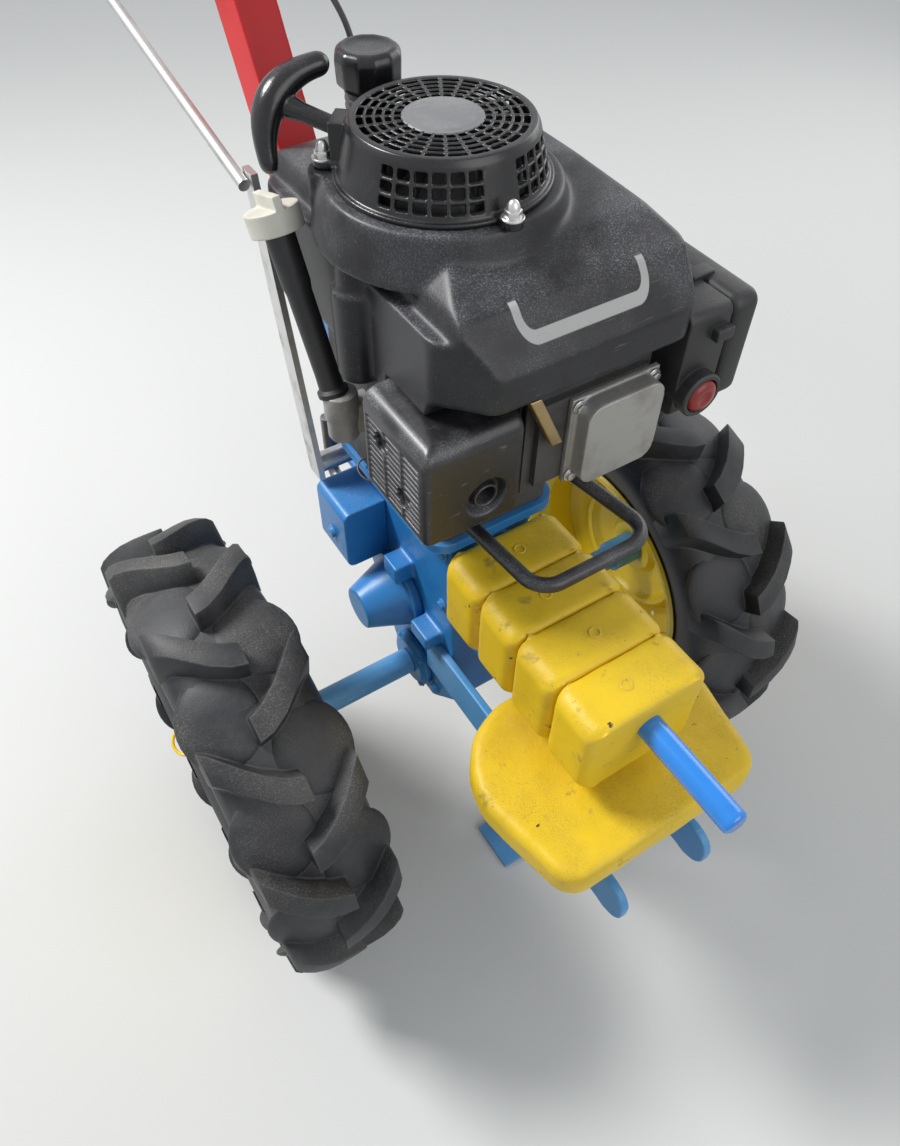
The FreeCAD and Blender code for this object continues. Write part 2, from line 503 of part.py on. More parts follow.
neck = rod("Z", ("0", "cap_y", "shroud_top"), "neck_radius", "neck_tall")
cap_sides = 10
cap_turns = [i * 360 / cap_sides for i in range(cap_sides)]
cap_outline = [(f"cap_radius * cos({turn})", f"cap_y + cap_radius * sin({turn})") for turn in cap_turns]
cap_body = padded("XY", cap_outline, "shroud_top + neck_tall", "shroud_top + neck_tall + cap_tall - 5")
cap_crown = rod("Z", ("0", "cap_y", "shroud_top + neck_tall + cap_tall - 5"), "cap_radius - 2", "5", "cap_radius - 7")
threads = [rod("Z", ("0", "cap_y", f"shroud_top + {z}"), "neck_radius + 2.5", "3") for z in (4, 11, 18)]
keep(joined([neck, cap_body, cap_crown] + threads), "fuel_cap")

# Starter handle: a crescent grip on a stem that enters the duct beside the fan
grip_low = Vector(-117, 100, size["shroud_top"] + 4)
grip_bulge = Vector(-99, 118, size["shroud_top"] + 44)
grip_high = Vector(-56, 116, size["shroud_top"] + 64)
crescent = Part.Wire([Part.Arc(grip_low, grip_bulge, grip_high).toShape()])
heading = crescent.Edges[0].tangentAt(crescent.Edges[0].FirstParameter)
grip_section = Part.Wire(Part.makeCircle(size["pull_radius"], grip_low, heading))
pull_handle = crescent.makePipeShell([grip_section], True, True)
duct_turn = math.radians(size["duct_angle"])
duct_face = crank + Vector(92 * math.cos(duct_turn), 92 * math.sin(duct_turn), size["shroud_top"] + 28)
stem = Part.makeCone(11, 7, (duct_face - grip_bulge).Length, grip_bulge, duct_face - grip_bulge)
solid("pull_handle", pull_handle.fuse(stem).cut(cover_shape.translated(crank)).removeSplitter())


# Oil filler: a boss on the block, a leaning tube and a cap with a finger ridge
boss_low = size["gear_top"] + 84
oil_foot, oil_mouth = Vector(-108, 44, boss_low + 44), Vector(-121, 98, size["shroud_top"] - 54)
oil_run = (oil_mouth - oil_foot).normalize()
oil_tube = Part.makeCylinder(size["oil_tube_radius"], (oil_mouth - oil_foot).Length, oil_foot, oil_run)
oil_boss = Part.makeCylinder(17, 56, Vector(-104, 42, boss_low))
oil_arm = Part.makeBox(40, 24, 40, Vector(-104, 30, boss_low))
solid("oil_filler_tube", oil_tube.fuse([oil_boss, oil_arm]).cut(block_room).removeSplitter())
oil_cap = Part.makeCylinder(size["oil_cap_radius"], 20).fuse(Part.makeBox(8, 50, 13, Vector(-4, -25, 19)))
oil_tilt = math.degrees(ALONG_Z.getAngle(oil_run))
oil_cap = oil_cap.removeSplitter().rotated(Vector(), ALONG_Z.cross(oil_run), oil_tilt)
solid("oil_filler_cap", oil_cap.translated(oil_mouth))

muffler = padded("XY", [("-muffler_out", "-muffler_front"), ("-muffler_in", "-muffler_front"),
                        ("-muffler_in", "-block_front"), ("-block_half - 2", "-block_front"),
                        ("-block_half - 2", "-muffler_rear"), ("-muffler_out", "-muffler_rear")],
                 "muffler_low", "muffler_top")
doc.recompute()
out_x, front_y = -size["muffler_out"], -size["muffler_front"]
top_edges, upright_edges = [], []
for edge in muffler.Shape.Edges:
    middle = edge.CenterOfMass
    outer_edge = middle.x < out_x + 1 or middle.y < front_y + 1
    if outer_edge and middle.z > size["muffler_top"] - 1:
        top_edges.append(edge)
guard = muffler.Shape.makeFillet(size["muffler_round"], top_edges)
for edge in guard.Edges:
    middle = edge.CenterOfMass
    level = edge.BoundBox.ZLength < 20
    if not level and edge.BoundBox.XLength + edge.BoundBox.YLength < 0.1 and middle.y < front_y + 1:
        upright_edges.append(edge)
guard = guard.makeFillet(6, upright_edges)
# louvres on the right face in columns, two round holes through them and the outlet in front
louvre_low, louvre_rear = size["muffler_low"] + 6, -size["muffler_rear"] - 6
louvre_long = (size["muffler_front"] - size["muffler_rear"] - 16) / size["louvre_columns"]
openings = []
for column_number in range(int(size["louvre_columns"])):
    for row_number in range(int(size["louvre_count"])):
        corner = Vector(out_x - 1, louvre_rear - louvre_long * (column_number + 1) + 3,
                        louvre_low + size["louvre_pitch"] * row_number)
        openings.append(Part.makeBox(4, louvre_long - 3, size["louvre_pitch"] * 0.5, corner))
for hole_y, hole_z in ((-64, 746), (-101, 708)):
    openings.append(Part.makeCylinder(size["hole_radius"], 9, Vector(out_x - 1, hole_y, hole_z), ALONG_X))
outlet_spot = Vector(-54, front_y - 1, 712)
outlet_pocket = Part.makeCone(size["outlet_radius"] + 1, size["outlet_radius"] - 4, 11, outlet_spot, ALONG_Y)
openings.append(outlet_pocket.cut(Part.makeCylinder(13, 12, outlet_spot + ALONG_Y * 2, ALONG_Y)))
openings.append(Part.makeCylinder(10, 20, outlet_spot, ALONG_Y))
solid("muffler_guard", guard.cut(openings).removeSplitter())
bracket_outline = [("head_right - 12", "head_low + 128"), ("head_right", "head_low + 128"),
                   ("head_right + 30", "head_low + 66"), ("head_right + 18", "head_low + 66")]
keep(padded("XZ", bracket_outline, "-head_front - 11", "-head_front"), "exhaust_bracket")

intake = padded("XZ", [("filter_in", "filter_low"), ("filter_out", "filter_low"), ("filter_out", "filter_top"),
                       ("filter_in", "filter_top")], "-filter_front", "-filter_rear")
rounded(intake, ALONG_Y, "14", lambda p: p.x > size["filter_out"] - 1)
collar = rod("Y", ("bulb_x", "-filter_front - 12", "bulb_z"), "bulb_radius + collar_wall", "26")
cup = rod("Y", ("bulb_x", "-filter_front - 13", "bulb_z"), "bulb_radius + seat_gap", "9")
keep(cut(joined([intake, collar]), cup), "air_filter_housing")
bulb = rod("Y", ("bulb_x", "0", "bulb_z"), "bulb_radius", "12")
keep(bulb, "primer_bulb", "-filter_front - 16")

guard_corners = [Vector(size[x], -y, size["guard_z"]) for x, y in (
    ("guard_right_x", size["block_front"]), ("guard_right_x", size["guard_front"]),
    ("guard_left_x", size["guard_front"]), ("guard_left_x", size["block_front"]))]
guard_corners[0] = Vector(size["guard_right_x"] - 12, -size["block_front"] + 2, size["guard_z"])
guard_corners[-1] = Vector(size["guard_left_x"] - 22, -size["block_front"] + 2, size["guard_z"])
solid("guard_loop", swept(guard_corners, size["guard_bend"], size["guard_tube_radius"]).cut(block_room))

# Front weights: four blocks on a bar and a broad plate on the carrier rails
last_block = "block_start + (weight_count - 1) * block_pitch + block_deep"
free_end = rod("Y", ("0", "-bar_tip", "bar_z"), "bar_radius", f"bar_tip - ({last_block})")
clamped = rod("Y", ("0", f"-({last_block})", "bar_z"), "bar_radius - 0.5", f"{last_block} - bar_seat")
keep(joined([free_end, clamped]), "weight_bar")
for number in range(int(size["weight_count"])):
    near = f"-block_start - {number} * block_pitch"
    brick = padded("XZ", [("-block_wide / 2", "bar_z - block_drop"), ("block_wide / 2", "bar_z - block_drop"),
                          ("block_wide / 2", "bar_z + block_rise"), ("-block_wide / 2", "bar_z + block_rise")],
                   f"{near} - block_deep", near)
    rounded(brick, ALONG_Y, "block_round")
    bore = rod("Y", ("0", f"{near} - block_deep - 1", "bar_z"), "bar_radius + seat_gap", "block_deep + 2")
    keep(cut(brick, bore), f"weight_block_{number + 1}")

plate = padded("XY", [
    ("-plate_nose_half", "-plate_front"), ("plate_nose_half", "-plate_front"), ("plate_half", "-plate_wide_y"),
    ("plate_half - 52", "-plate_back"), ("-plate_half + 52", "-plate_back"), ("-plate_half", "-plate_wide_y")],
    "plate_low", "plate_low + plate_thick")
rounded(plate, ALONG_Z, "plate_round")
keep(plate, "weight_plate")

rails = []
for side in (1, -1):
    low, high = ("gear_half", "gear_half + rail_wall") if side > 0 else ("-gear_half - rail_wall", "-gear_half")
    rail = padded("YZ", [("-rail_rear", "rail_low"), ("-rail_rear", "rail_top"), ("-rail_bend_y", "rail_top"),
                         ("-rail_toe_y", "rail_toe_top"), ("-rail_toe_y", "rail_toe_top - rail_deep"),
                         ("-rail_bend_y", "rail_low")], low, high)
    rails.append(rounded(rail, ALONG_X, "26", lambda p: p.y < -size["rail_toe_y"] + 1))
tray = block(("-gear_half", "-plate_front + 22", "rail_toe_top + 2"),
             ("gear_half", "-plate_back - 40", "rail_toe_top + 2 + tray_wall"))
post_rear = block(("-gear_half", "-plate_back - 70", "rail_toe_top + 2"),
                  ("gear_half", "-plate_back - 40", "plate_low"))
post_front = block(("-gear_half", "-plate_front + 22", "rail_toe_top + 2"),
                   ("gear_half", "-plate_front + 52", "plate_low"))
ribs = [block((x, "-plate_front + 22", "rail_low + 10"), (f"{x} + 6", "-plate_back - 40", "rail_toe_top + 3"))
        for x in ("-gear_half", "gear_half - 6")]
stand_pin = rod("X", ("-gear_half", "-stand_y", "stand_z"), "stand_pin_radius", "2 * gear_half")
keep(joined(rails + ribs + [tray, post_rear, post_front, stand_pin]), "weight_carrier")

# Parking stand: one leg on a cross pin, leaning back against its stop
pivot = Vector(0, -size["stand_y"], size["stand_z"])
heel = Vector(0, -size["foot_y"], size["foot_wall"] - 1)
leg_run = (heel - pivot).normalize()
bush = Part.makeCylinder(size["stand_bush_radius"], 50, pivot - ALONG_X * 25, ALONG_X)
leg = Part.makeCylinder(size["stand_tube_radius"], (heel - pivot).Length, pivot, leg_run)
foot = Part.makeBox(size["foot_wide"], size["foot_long"], size["foot_wall"],
                    Vector(-size["foot_wide"] / 2, -size["foot_y"] - size["foot_long"] / 2, 0))
pin_hole = Part.makeCylinder(size["stand_pin_radius"] + size["running_gap"], 60, pivot - ALONG_X * 30, ALONG_X)
solid("stand_leg", bush.fuse([leg, foot]).cut(pin_hole).removeSplitter())

# Rear hitch: clevis plates with a bore for a drawbar pin, and a lock bar along its side
hitch = joined([
    block(("-hitch_half", "gear_rear", "hitch_low"), ("hitch_half", "gear_rear + hitch_wall", "hitch_high")),
    block(("-hitch_half", "gear_rear", "hitch_low"),
          ("hitch_half", "gear_rear + hitch_reach", "hitch_low + hitch_wall")),
    block(("-hitch_half", "gear_rear", "hitch_high - hitch_wall"),
          ("hitch_half", "gear_rear + hitch_reach", "hitch_high"))])
hitch_bore = rod("Z", ("0", "hitch_bore_y", "hitch_low - 1"), "hitch_bore_radius", "hitch_high - hitch_low + 2")
keep(cut(hitch, hitch_bore), "hitch_bracket")
lock_x, lock_y = -size["hitch_half"] - 8, size["hitch_bore_y"] + 9
lock_bar = [Vector(lock_x, lock_y, size["hitch_high"] + 45), Vector(lock_x, lock_y, size["hitch_low"] + 47),
            Vector(lock_x, size["gear_rear"] + 36, size["hitch_low"] + 47)]
solid("hitch_lock_bar", swept(lock_bar, 16, 7.7))

# Handlebar column: bracket on the gearbox, sloping box column with a head that pivots the handles
bracket = padded("YZ", [("gear_rear", "gear_top - 70"), ("gear_rear + 30", "gear_top - 70"),
                        ("foot_pin_y + 30", "foot_pin_z - 34"), ("foot_pin_y + 34", "foot_pin_z + 30"),
                        ("foot_pin_y - 34", "foot_pin_z + 24"), ("gear_rear", "gear_top - 2")],
                 "-bracket_half", "bracket_half")
column_foot = Vector(0, size["foot_pin_y"], size["foot_pin_z"])
angle = math.radians(size["column_angle"])
rise = Vector(0, math.cos(angle), math.sin(angle))


def upright(shape):
    """Turn a shape drawn up the Z axis into the column's slope and set it on the column's foot."""
    return shape.rotated(Vector(), ALONG_X, size["column_angle"] - 90).translated(column_foot)


def column_box(grow, low):
    wide, deep = size["column_wide"] + 2 * grow, size["column_deep"] + 2 * grow
    return Part.makeBox(wide, deep, size["column_long"] - low, Vector(-wide / 2, -deep / 2, low))


pin_z = size["column_long"] + size["handle_pin_rise"]
half_wide, ear = size["column_wide"] / 2, size["ear_wall"]
ears = []
for x in (-half_wide, half_wide - ear):
    ears.append(Part.makeBox(ear, 2 * size["ear_radius"], 40 + size["handle_pin_rise"],
                             Vector(x, -size["ear_radius"], size["column_long"] - 40)))
    ears.append(Part.makeCylinder(size["ear_radius"], ear, Vector(x, 0, pin_z), ALONG_X))
pivot_pin = Part.makeCylinder(size["handle_pin_radius"], size["column_wide"],
                              Vector(-half_wide, 0, pin_z), ALONG_X)
wall = size["column_wall"]
hollow = Part.makeBox(size["column_wide"] - 2 * wall, size["column_deep"] - 2 * wall,
                      size["column_long"] + 30 - 2 * wall,
                      Vector(wall - half_wide, wall - size["column_deep"] / 2, wall - 30))
column = column_box(0, -30).cut(hollow)
column_shape = upright(column.fuse(ears + [pivot_pin]).removeSplitter())
solid("handlebar_column", column_shape)

# Throttle cable: an arch from the shroud's rear face up to the front of the column
cable_start = Vector(34, size["shroud_rear"] - 1, size["shroud_top"] - 54)
cable_route = [cable_start, cable_start + Vector(0, 33, 2), cable_start + Vector(0, 25, 80),
               Vector(26, 266, 994), Vector(14, 350, 1030), Vector(12, 427, 1041)]
cable = swept(cable_route, 24, size["cable_radius"])
solid("throttle_cable", cable.cut([column_shape, shroud]).removeSplitter())
doc.recompute()
slot = doc.addObject("Part::Feature", "ColumnRoom")
slot.Shape = upright(column_box(size["seat_gap"], -30.3))
keep(cut(bracket, slot), "column_bracket")

# Handlebars: a head that pivots on the column's pin, two bent tubes and their grips
head_pin = column_foot + rise * pin_z
lug_half = half_wide - ear - 0.5
yoke_low = 24.0
lug = Part.makeCylinder(size["lug_radius"], 2 * lug_half, Vector(-lug_half, 0, pin_z), ALONG_X)
neck = Part.makeBox(2 * lug_half, 28, yoke_low + 10, Vector(-lug_half, -14, pin_z))
yoke = Part.makeBox(2 * size["yoke_half"], 44, 36, Vector(-size["yoke_half"], -22, pin_z + yoke_low))
pin_bore = Part.makeCylinder(size["handle_pin_radius"] + size["running_gap"], 60, Vector(-30, 0, pin_z), ALONG_X)
solid("handlebar_head", upright(lug.fuse([neck, yoke]).cut(pin_bore).removeSplitter()))
socket = head_pin + rise * (yoke_low + 18)
for side, hand in ((1, "left"), (-1, "right")):
    start = socket + Vector(side * size["yoke_half"], 0, 0)
    low_z = socket.z - 52
    route = [start, start + Vector(side * 62, 40, 6), Vector(side * size["handle_half"], socket.y + 330, low_z),
             Vector(side * size["handle_half"], size["handle_end_y"], low_z)]
    tube = swept(route, 45, size["handle_tube_radius"], size["handle_tube_radius"] - size["handle_tube_wall"])
    solid(f"handlebar_tube_{hand}", tube.cut(upright(yoke)))
    grip = Part.makeCylinder(size["grip_radius"], size["grip_long"] + size["grip_cap"],
                             route[3] - ALONG_Y * size["grip_long"], ALONG_Y)
    core = Part.makeCylinder(size["handle_tube_radius"] + size["seat_gap"], size["grip_long"] + 10,
                             route[3] - ALONG_Y * (size["grip_long"] + 10 - size["seat_gap"]), ALONG_Y)
    solid(f"grip_{hand}", grip.cut(core))

# Gear shift: flat lever beside the gearbox and the rod that runs back to the driver
lever = padded("YZ", [("gear_rear - 12", "gear_top - 48"), ("gear_rear + 14", "gear_top - 48"),
                      ("gear_rear + 58", "gear_top + 172"), ("gear_rear + 74", "gear_top + 292"),
                      ("gear_rear + 54", "gear_top + 292"), ("gear_rear + 32", "gear_top + 174")],
               "-lever_side - 7", "-lever_side")
lever_pivot = rod("X", ("-lever_side", "gear_rear + 1", "gear_top - 32"), "12", "lever_side - gear_half")
keep(joined([lever, lever_pivot]), "shift_lever")
rod_x = -size["lever_side"] - 7 - 6 - size["seat_gap"]
rod_y, rod_z = size["gear_rear"] + 58, size["gear_top"] + 282
rod_route = [Vector(rod_x, rod_y, rod_z), Vector(rod_x, rod_y + 290, rod_z + 62),
             Vector(rod_x, rod_y + 430, rod_z + 92)]
solid("shift_rod", swept(rod_route, 400, 6))

doc.recompute()

for thing in doc.Objects:
    if "Invalid" in thing.State or "Error" in thing.State:
        raise RuntimeError(f"{thing.Label} failed to build")
os.makedirs("parts", exist_ok=True)
for thing in parts:
    shape = thing.Shape
    if shape.isNull() or not shape.isValid() or not shape.Solids:
        raise RuntimeError(f"{thing.Label} has no valid solid")
    shape.exportStep(f"parts/{thing.Label}.step")
print(len(parts), "sub-parts written")
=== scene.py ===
# %% [markdown]
# # A two-wheel walking tractor
# A walking tractor is steered by a person who walks behind it. It has one axle with two lugged
# tyres, a gearbox between them, an upright engine on top and iron weights in front.
# The measured solids come in first, because every finished piece has to sit exactly on them.
# They could be traced again by eye, but then nothing would meet, so this file only dresses them.

# %% Load the measured solids
import math

import bmesh
import bpy
from mathutils import Matrix, Vector


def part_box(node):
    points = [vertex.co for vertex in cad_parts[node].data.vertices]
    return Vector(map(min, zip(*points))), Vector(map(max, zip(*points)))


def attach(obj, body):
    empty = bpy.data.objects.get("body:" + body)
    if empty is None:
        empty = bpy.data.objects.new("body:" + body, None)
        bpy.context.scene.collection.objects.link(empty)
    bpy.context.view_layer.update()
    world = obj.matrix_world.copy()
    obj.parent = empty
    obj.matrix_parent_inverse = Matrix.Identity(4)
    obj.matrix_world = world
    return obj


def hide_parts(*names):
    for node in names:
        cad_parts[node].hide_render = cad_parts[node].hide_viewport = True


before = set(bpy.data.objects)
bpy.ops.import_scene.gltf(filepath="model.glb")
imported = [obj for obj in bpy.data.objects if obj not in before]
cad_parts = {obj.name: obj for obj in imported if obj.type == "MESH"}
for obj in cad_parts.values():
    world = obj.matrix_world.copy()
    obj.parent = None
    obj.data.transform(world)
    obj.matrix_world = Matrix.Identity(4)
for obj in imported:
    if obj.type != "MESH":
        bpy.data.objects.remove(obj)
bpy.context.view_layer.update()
MM = 0.001
ALONG_X, ALONG_Y, ALONG_Z = Vector((1, 0, 0)), Vector((0, 1, 0)), Vector((0, 0, 1))
ORIGIN = Vector((0, 0, 0))
SIDES = ((1, "left"), (-1, "right"))

# %% [markdown]
# ## The camera
# The picture is taken from above the front right corner, looking steeply down past the engine.
# A camera could be placed by trial, but here its place and turn come from fitting a few known
# points of the machine, so that the picture lines up with what was measured.

# %% Camera
def put(name, data):
    """A new object in the scene."""
    item = bpy.data.objects.new(name, data)
    bpy.context.scene.collection.objects.link(item)
    return item


lens = bpy.data.cameras.new("camera")
lens.sensor_fit = "VERTICAL"
lens.sensor_height = 36.0
lens.lens = 28.265
camera = put("camera", lens)
camera.location = (-0.3890, -0.9367, 1.2889)
camera.rotation_euler = [math.radians(a) for a in (39.583, -0.505, -32.357)]
bpy.context.scene.camera = camera
print("camera", [round(v, 3) for v in camera.location])

# %% [markdown]
# ## Small helpers
# Blender's operators act on whatever is selected, so each step first picks its own piece. Shader
# nodes could be placed and wired one at a time in the editor. Here one call adds a node, sets it
# up and feeds each input, with a link or with a plain number.

# %% Helpers: selecting, and shader nodes
def deselect():
    if bpy.context.object and bpy.context.object.mode != "OBJECT":
        bpy.ops.object.mode_set(mode="OBJECT")
    bpy.ops.object.select_all(action="DESELECT")


def select_only(piece):
    deselect()
    bpy.context.view_layer.objects.active = piece
    piece.select_set(True)


def select_mesh():
    bpy.ops.mesh.select_all(action="SELECT")


def feed(tree, value, socket):
    """Link an output to a socket, or write a plain value into it."""
    if hasattr(value, "links"):
        tree.links.new(value, socket)
    else:
        socket.default_value = value


def add_node(tree, kind, inputs=None, **settings):
    node = tree.nodes.new("ShaderNode" + kind)
    for setting, value in settings.items():
        setattr(node, setting, value)
    for socket, value in (inputs or {}).items():
        feed(tree, value, node.inputs[socket])
    return node


def math_node(tree, operation, *values, clamp=False):
    return add_node(tree, "Math", dict(enumerate(values)), operation=operation, use_clamp=clamp).outputs[0]


def ramp_node(tree, value, low, high):
    """0 below low, 1 above high, and a soft rise between."""
    ends = {"Value": value, "From Min": low, "From Max": high}
    return add_node(tree, "MapRange", ends, interpolation_type="SMOOTHSTEP").outputs["Result"]


print("helpers ready")

# %% [markdown]
# ## A plain studio
# A pale floor and a soft key light from behind, with two weaker ones in front and to the side, show
# the form and keep colours close to how they are written. Sunlight would be nearer to a day
# outdoors, but its black shadows hide half of the castings. Far out, and from beneath, the floor
# turns clear, because a hard horizon would draw the eye.

# %% Floor
FLOOR_SIZE, FLOOR_DROP = 16, 0.5 * MM
FADE_FROM, FADE_TO = 2.2, 7.0
deselect()
bpy.ops.mesh.primitive_plane_add(size=FLOOR_SIZE, location=(0, 0, -FLOOR_DROP))
floor = bpy.context.object
floor.name = "floor"
floor_paint = bpy.data.materials.new("pale_floor")
floor_paint.use_nodes = True
floor.data.materials.append(floor_paint)
floor_tree = floor_paint.node_tree
floor_shader = floor_tree.nodes["Principled BSDF"]
floor_shader.inputs["Base Color"].default_value = (0.62, 0.62, 0.60, 1)
floor_shader.inputs["Roughness"].default_value = 0.85
from_middle = add_node(floor_tree, "TexCoord").outputs["Object"]
reach = add_node(floor_tree, "VectorMath", {0: from_middle}, operation="LENGTH").outputs["Value"]
beneath = add_node(floor_tree, "NewGeometry").outputs["Backfacing"]
clear = math_node(floor_tree, "MAXIMUM", ramp_node(floor_tree, reach, FADE_FROM, FADE_TO), beneath)
see_through = add_node(floor_tree, "BsdfTransparent").outputs[0]
blend = add_node(floor_tree, "MixShader", {0: clear, 1: floor_shader.outputs[0], 2: see_through})
feed(floor_tree, blend.outputs[0], floor_tree.nodes["Material Output"].inputs["Surface"])
print("floor", FLOOR_SIZE, "m wide, clear beyond", FADE_TO, "m")

# %% [markdown]
# The backdrop is pale for the camera, in reflections and through glass. Every other ray meets a
# dimmer sky, so that the backdrop adds no light of its own.

# %% Backdrop and lamps
bpy.context.scene.view_settings.view_transform = "Standard"
world = bpy.data.worlds.new("studio")
bpy.context.scene.world = world
world.use_nodes = True
world_tree = world.node_tree
sky = world_tree.nodes["Background"]
sky.inputs["Color"].default_value = (0.86, 0.92, 1.0, 1)
sky.inputs["Strength"].default_value = 0.42
pale = add_node(world_tree, "Background", {"Color": (0.80, 0.81, 0.82, 1)})
rays = add_node(world_tree, "LightPath")
looked_at = rays.outputs["Is Camera Ray"]
for ray in ("Is Glossy Ray", "Is Transmission Ray"):
    looked_at = math_node(world_tree, "MAXIMUM", looked_at, rays.outputs[ray])
either = add_node(world_tree, "MixShader", {0: looked_at, 1: sky.outputs[0], 2: pale.outputs[0]})
feed(world_tree, either.outputs[0], world_tree.nodes["World Output"].inputs["Surface"])

AIM = Vector((0, -0.3, 0.5))
LAMPS = [
    # name, place, width, watts
    ("key", (-1.5, 1.3, 3.0), 0.9, 125),
    ("fill", (0.6, -3.0, 2.2), 2.2, 34),
    ("side", (2.8, 0.4, 1.8), 1.8, 24),
]
for name, place, width, watts in LAMPS:
    light = bpy.data.lights.new(name, "AREA")
    light.size = width
    light.energy = watts
    lamp = put(name, light)
    lamp.location = place
    lamp.rotation_euler = (AIM - Vector(place)).to_track_quat("-Z", "Y").to_euler()
print(len(LAMPS), "lamps")

# %% [markdown]
# ## Effects that several finishes share
# Paint wears off where an edge sticks out. On the hood the lighter edge is also a painted
# highlight, the sheen of light along its creases. A Bevel node rounds the normal near an edge, so
# the angle between it and the true normal marks the edge, whatever the mesh is like. Noise breaks
# the line up. Pointiness would be cheaper, but it needs a dense mesh, and the castings aren't one.

# %% Group: edge wear, and painted sheen on edges
def new_group(name, inputs, output="Mask"):
    """A node group with one output: its tree, its inputs by name, and the socket of its output."""
    tree = bpy.data.node_groups.new(name, "ShaderNodeTree")
    for socket, value in inputs:
        made = tree.interface.new_socket(socket, in_out="INPUT", socket_type="NodeSocketFloat")
        made.default_value = value
    tree.interface.new_socket(output, in_out="OUTPUT", socket_type="NodeSocketFloat")
    return tree, tree.nodes.new("NodeGroupInput").outputs, tree.nodes.new("NodeGroupOutput").inputs[0]


def noise_node(tree, scale, detail=3.0, stretch=None, roughness=0.55):
    place = add_node(tree, "TexCoord").outputs["Object"]
    if stretch:
        place = add_node(tree, "Mapping", {"Vector": place, "Scale": stretch}).outputs["Vector"]
    values = {"Vector": place, "Scale": scale, "Detail": detail, "Roughness": roughness}
    return add_node(tree, "TexNoise", values).outputs["Fac"]


wear_and_sheen, wear_and_sheen_in, wear_and_sheen_mask = new_group("edge_wear_and_sheen", [("Width", 0.003), ("Amount", 0.5), ("Scale", 60)])
rounded = add_node(wear_and_sheen, "Bevel", {"Radius": wear_and_sheen_in["Width"]}, samples=4).outputs["Normal"]
true = add_node(wear_and_sheen, "NewGeometry").outputs["Normal"]
together = add_node(wear_and_sheen, "VectorMath", {0: rounded, 1: true}, operation="DOT_PRODUCT").outputs["Value"]
turned_away = math_node(wear_and_sheen, "SUBTRACT", 1.0, together)
patches = math_node(wear_and_sheen, "MULTIPLY", noise_node(wear_and_sheen, wear_and_sheen_in["Scale"]), 10.0)
edge_line = ramp_node(wear_and_sheen, math_node(wear_and_sheen, "MULTIPLY", turned_away, patches), 0.05, 0.7)
feed(wear_and_sheen, math_node(wear_and_sheen, "MULTIPLY", edge_line, wear_and_sheen_in["Amount"]), wear_and_sheen_mask)
print("group", wear_and_sheen.name)

# %% [markdown]
# Dust lies on what faces up, in drifts with a fine speckle in them. On the weights the same mask
# carries a dark colour, which is partly grit and partly painted shade where the engine shades their
# tops. Blotches are the larger, soft changes of tone that rain and hands leave. Both are noise with
# its ends pulled in, and the dust is also weighed by how far the surface looks up.

# %% Groups: dust with painted shade, and blotches
def looks_up(tree, low, high):
    """A ramp over how far a surface looks up, from -1 for straight down to 1 for straight up."""
    normal = add_node(tree, "NewGeometry").outputs["Normal"]
    return ramp_node(tree, add_node(tree, "SeparateXYZ", {0: normal}).outputs["Z"], low, high)


dust_and_shade, dust_and_shade_in, dust_and_shade_mask = new_group("dust_and_shade", [("Amount", 0.5), ("Scale", 12), ("Speckle", 900)])
drifts = ramp_node(dust_and_shade, noise_node(dust_and_shade, dust_and_shade_in["Scale"], 5.0), 0.36, 0.7)
specks = ramp_node(dust_and_shade, noise_node(dust_and_shade, dust_and_shade_in["Speckle"], 4.0), 0.46, 0.70)
upward_drifts = math_node(dust_and_shade, "MULTIPLY", drifts, looks_up(dust_and_shade, -0.2, 1.0))
upward_cover = math_node(dust_and_shade, "MULTIPLY", upward_drifts, math_node(dust_and_shade, "ADD", specks, 0.2))
feed(dust_and_shade, math_node(dust_and_shade, "MULTIPLY", upward_cover, dust_and_shade_in["Amount"], clamp=True), dust_and_shade_mask)

blotch, blotch_in, blotch_mask = new_group("blotches", [("Scale", 20), ("Low", 0.5), ("High", 0.7)])
cloud = noise_node(blotch, blotch_in["Scale"], 6.0, roughness=0.62)
feed(blotch, ramp_node(blotch, cloud, blotch_in["Low"], blotch_in["High"]), blotch_mask)
print("groups", dust_and_shade.name, blotch.name)

# %% [markdown]
# Grain is the small relief of a surface: sand in a casting, orange peel in brushed paint, or the
# etched skin of moulded plastic. It only gives a height, and each finish sets how deep it is.
# Scratches are the same noise drawn out in one direction until it becomes lines.

# %% Groups: grain and scratches
grain, grain_in, grain_height = new_group("grain", [("Fine", 900), ("Coarse", 90), ("Share", 0.5)], "Height")
fine_share = math_node(grain, "SUBTRACT", 1.0, grain_in["Share"])
fine = math_node(grain, "MULTIPLY", noise_node(grain, grain_in["Fine"], 2.0), fine_share)
coarse = math_node(grain, "MULTIPLY", noise_node(grain, grain_in["Coarse"], 3.0), grain_in["Share"])
feed(grain, math_node(grain, "ADD", fine, coarse), grain_height)

scratch, scratch_in, scratch_mask = new_group("scratches", [("Amount", 0.5)])
across = ramp_node(scratch, noise_node(scratch, 40.0, 2.0, (1.0, 22.0, 6.0)), 0.66, 0.72)
along = ramp_node(scratch, noise_node(scratch, 55.0, 2.0, (17.0, 1.0, 9.0)), 0.67, 0.73)
both_ways = math_node(scratch, "MAXIMUM", across, along)
feed(scratch, math_node(scratch, "MULTIPLY", both_ways, scratch_in["Amount"]), scratch_mask)
print("groups", grain.name, scratch.name)

# %% [markdown]
# A bare label sits on the hood, with a pale strip along its lower edge. It has no thickness worth
# modelling, so it is painted. The distance to a rounded rectangle is worked out from the
# coordinates: inside the outline it is negative, and a strip is what lies between two distances.

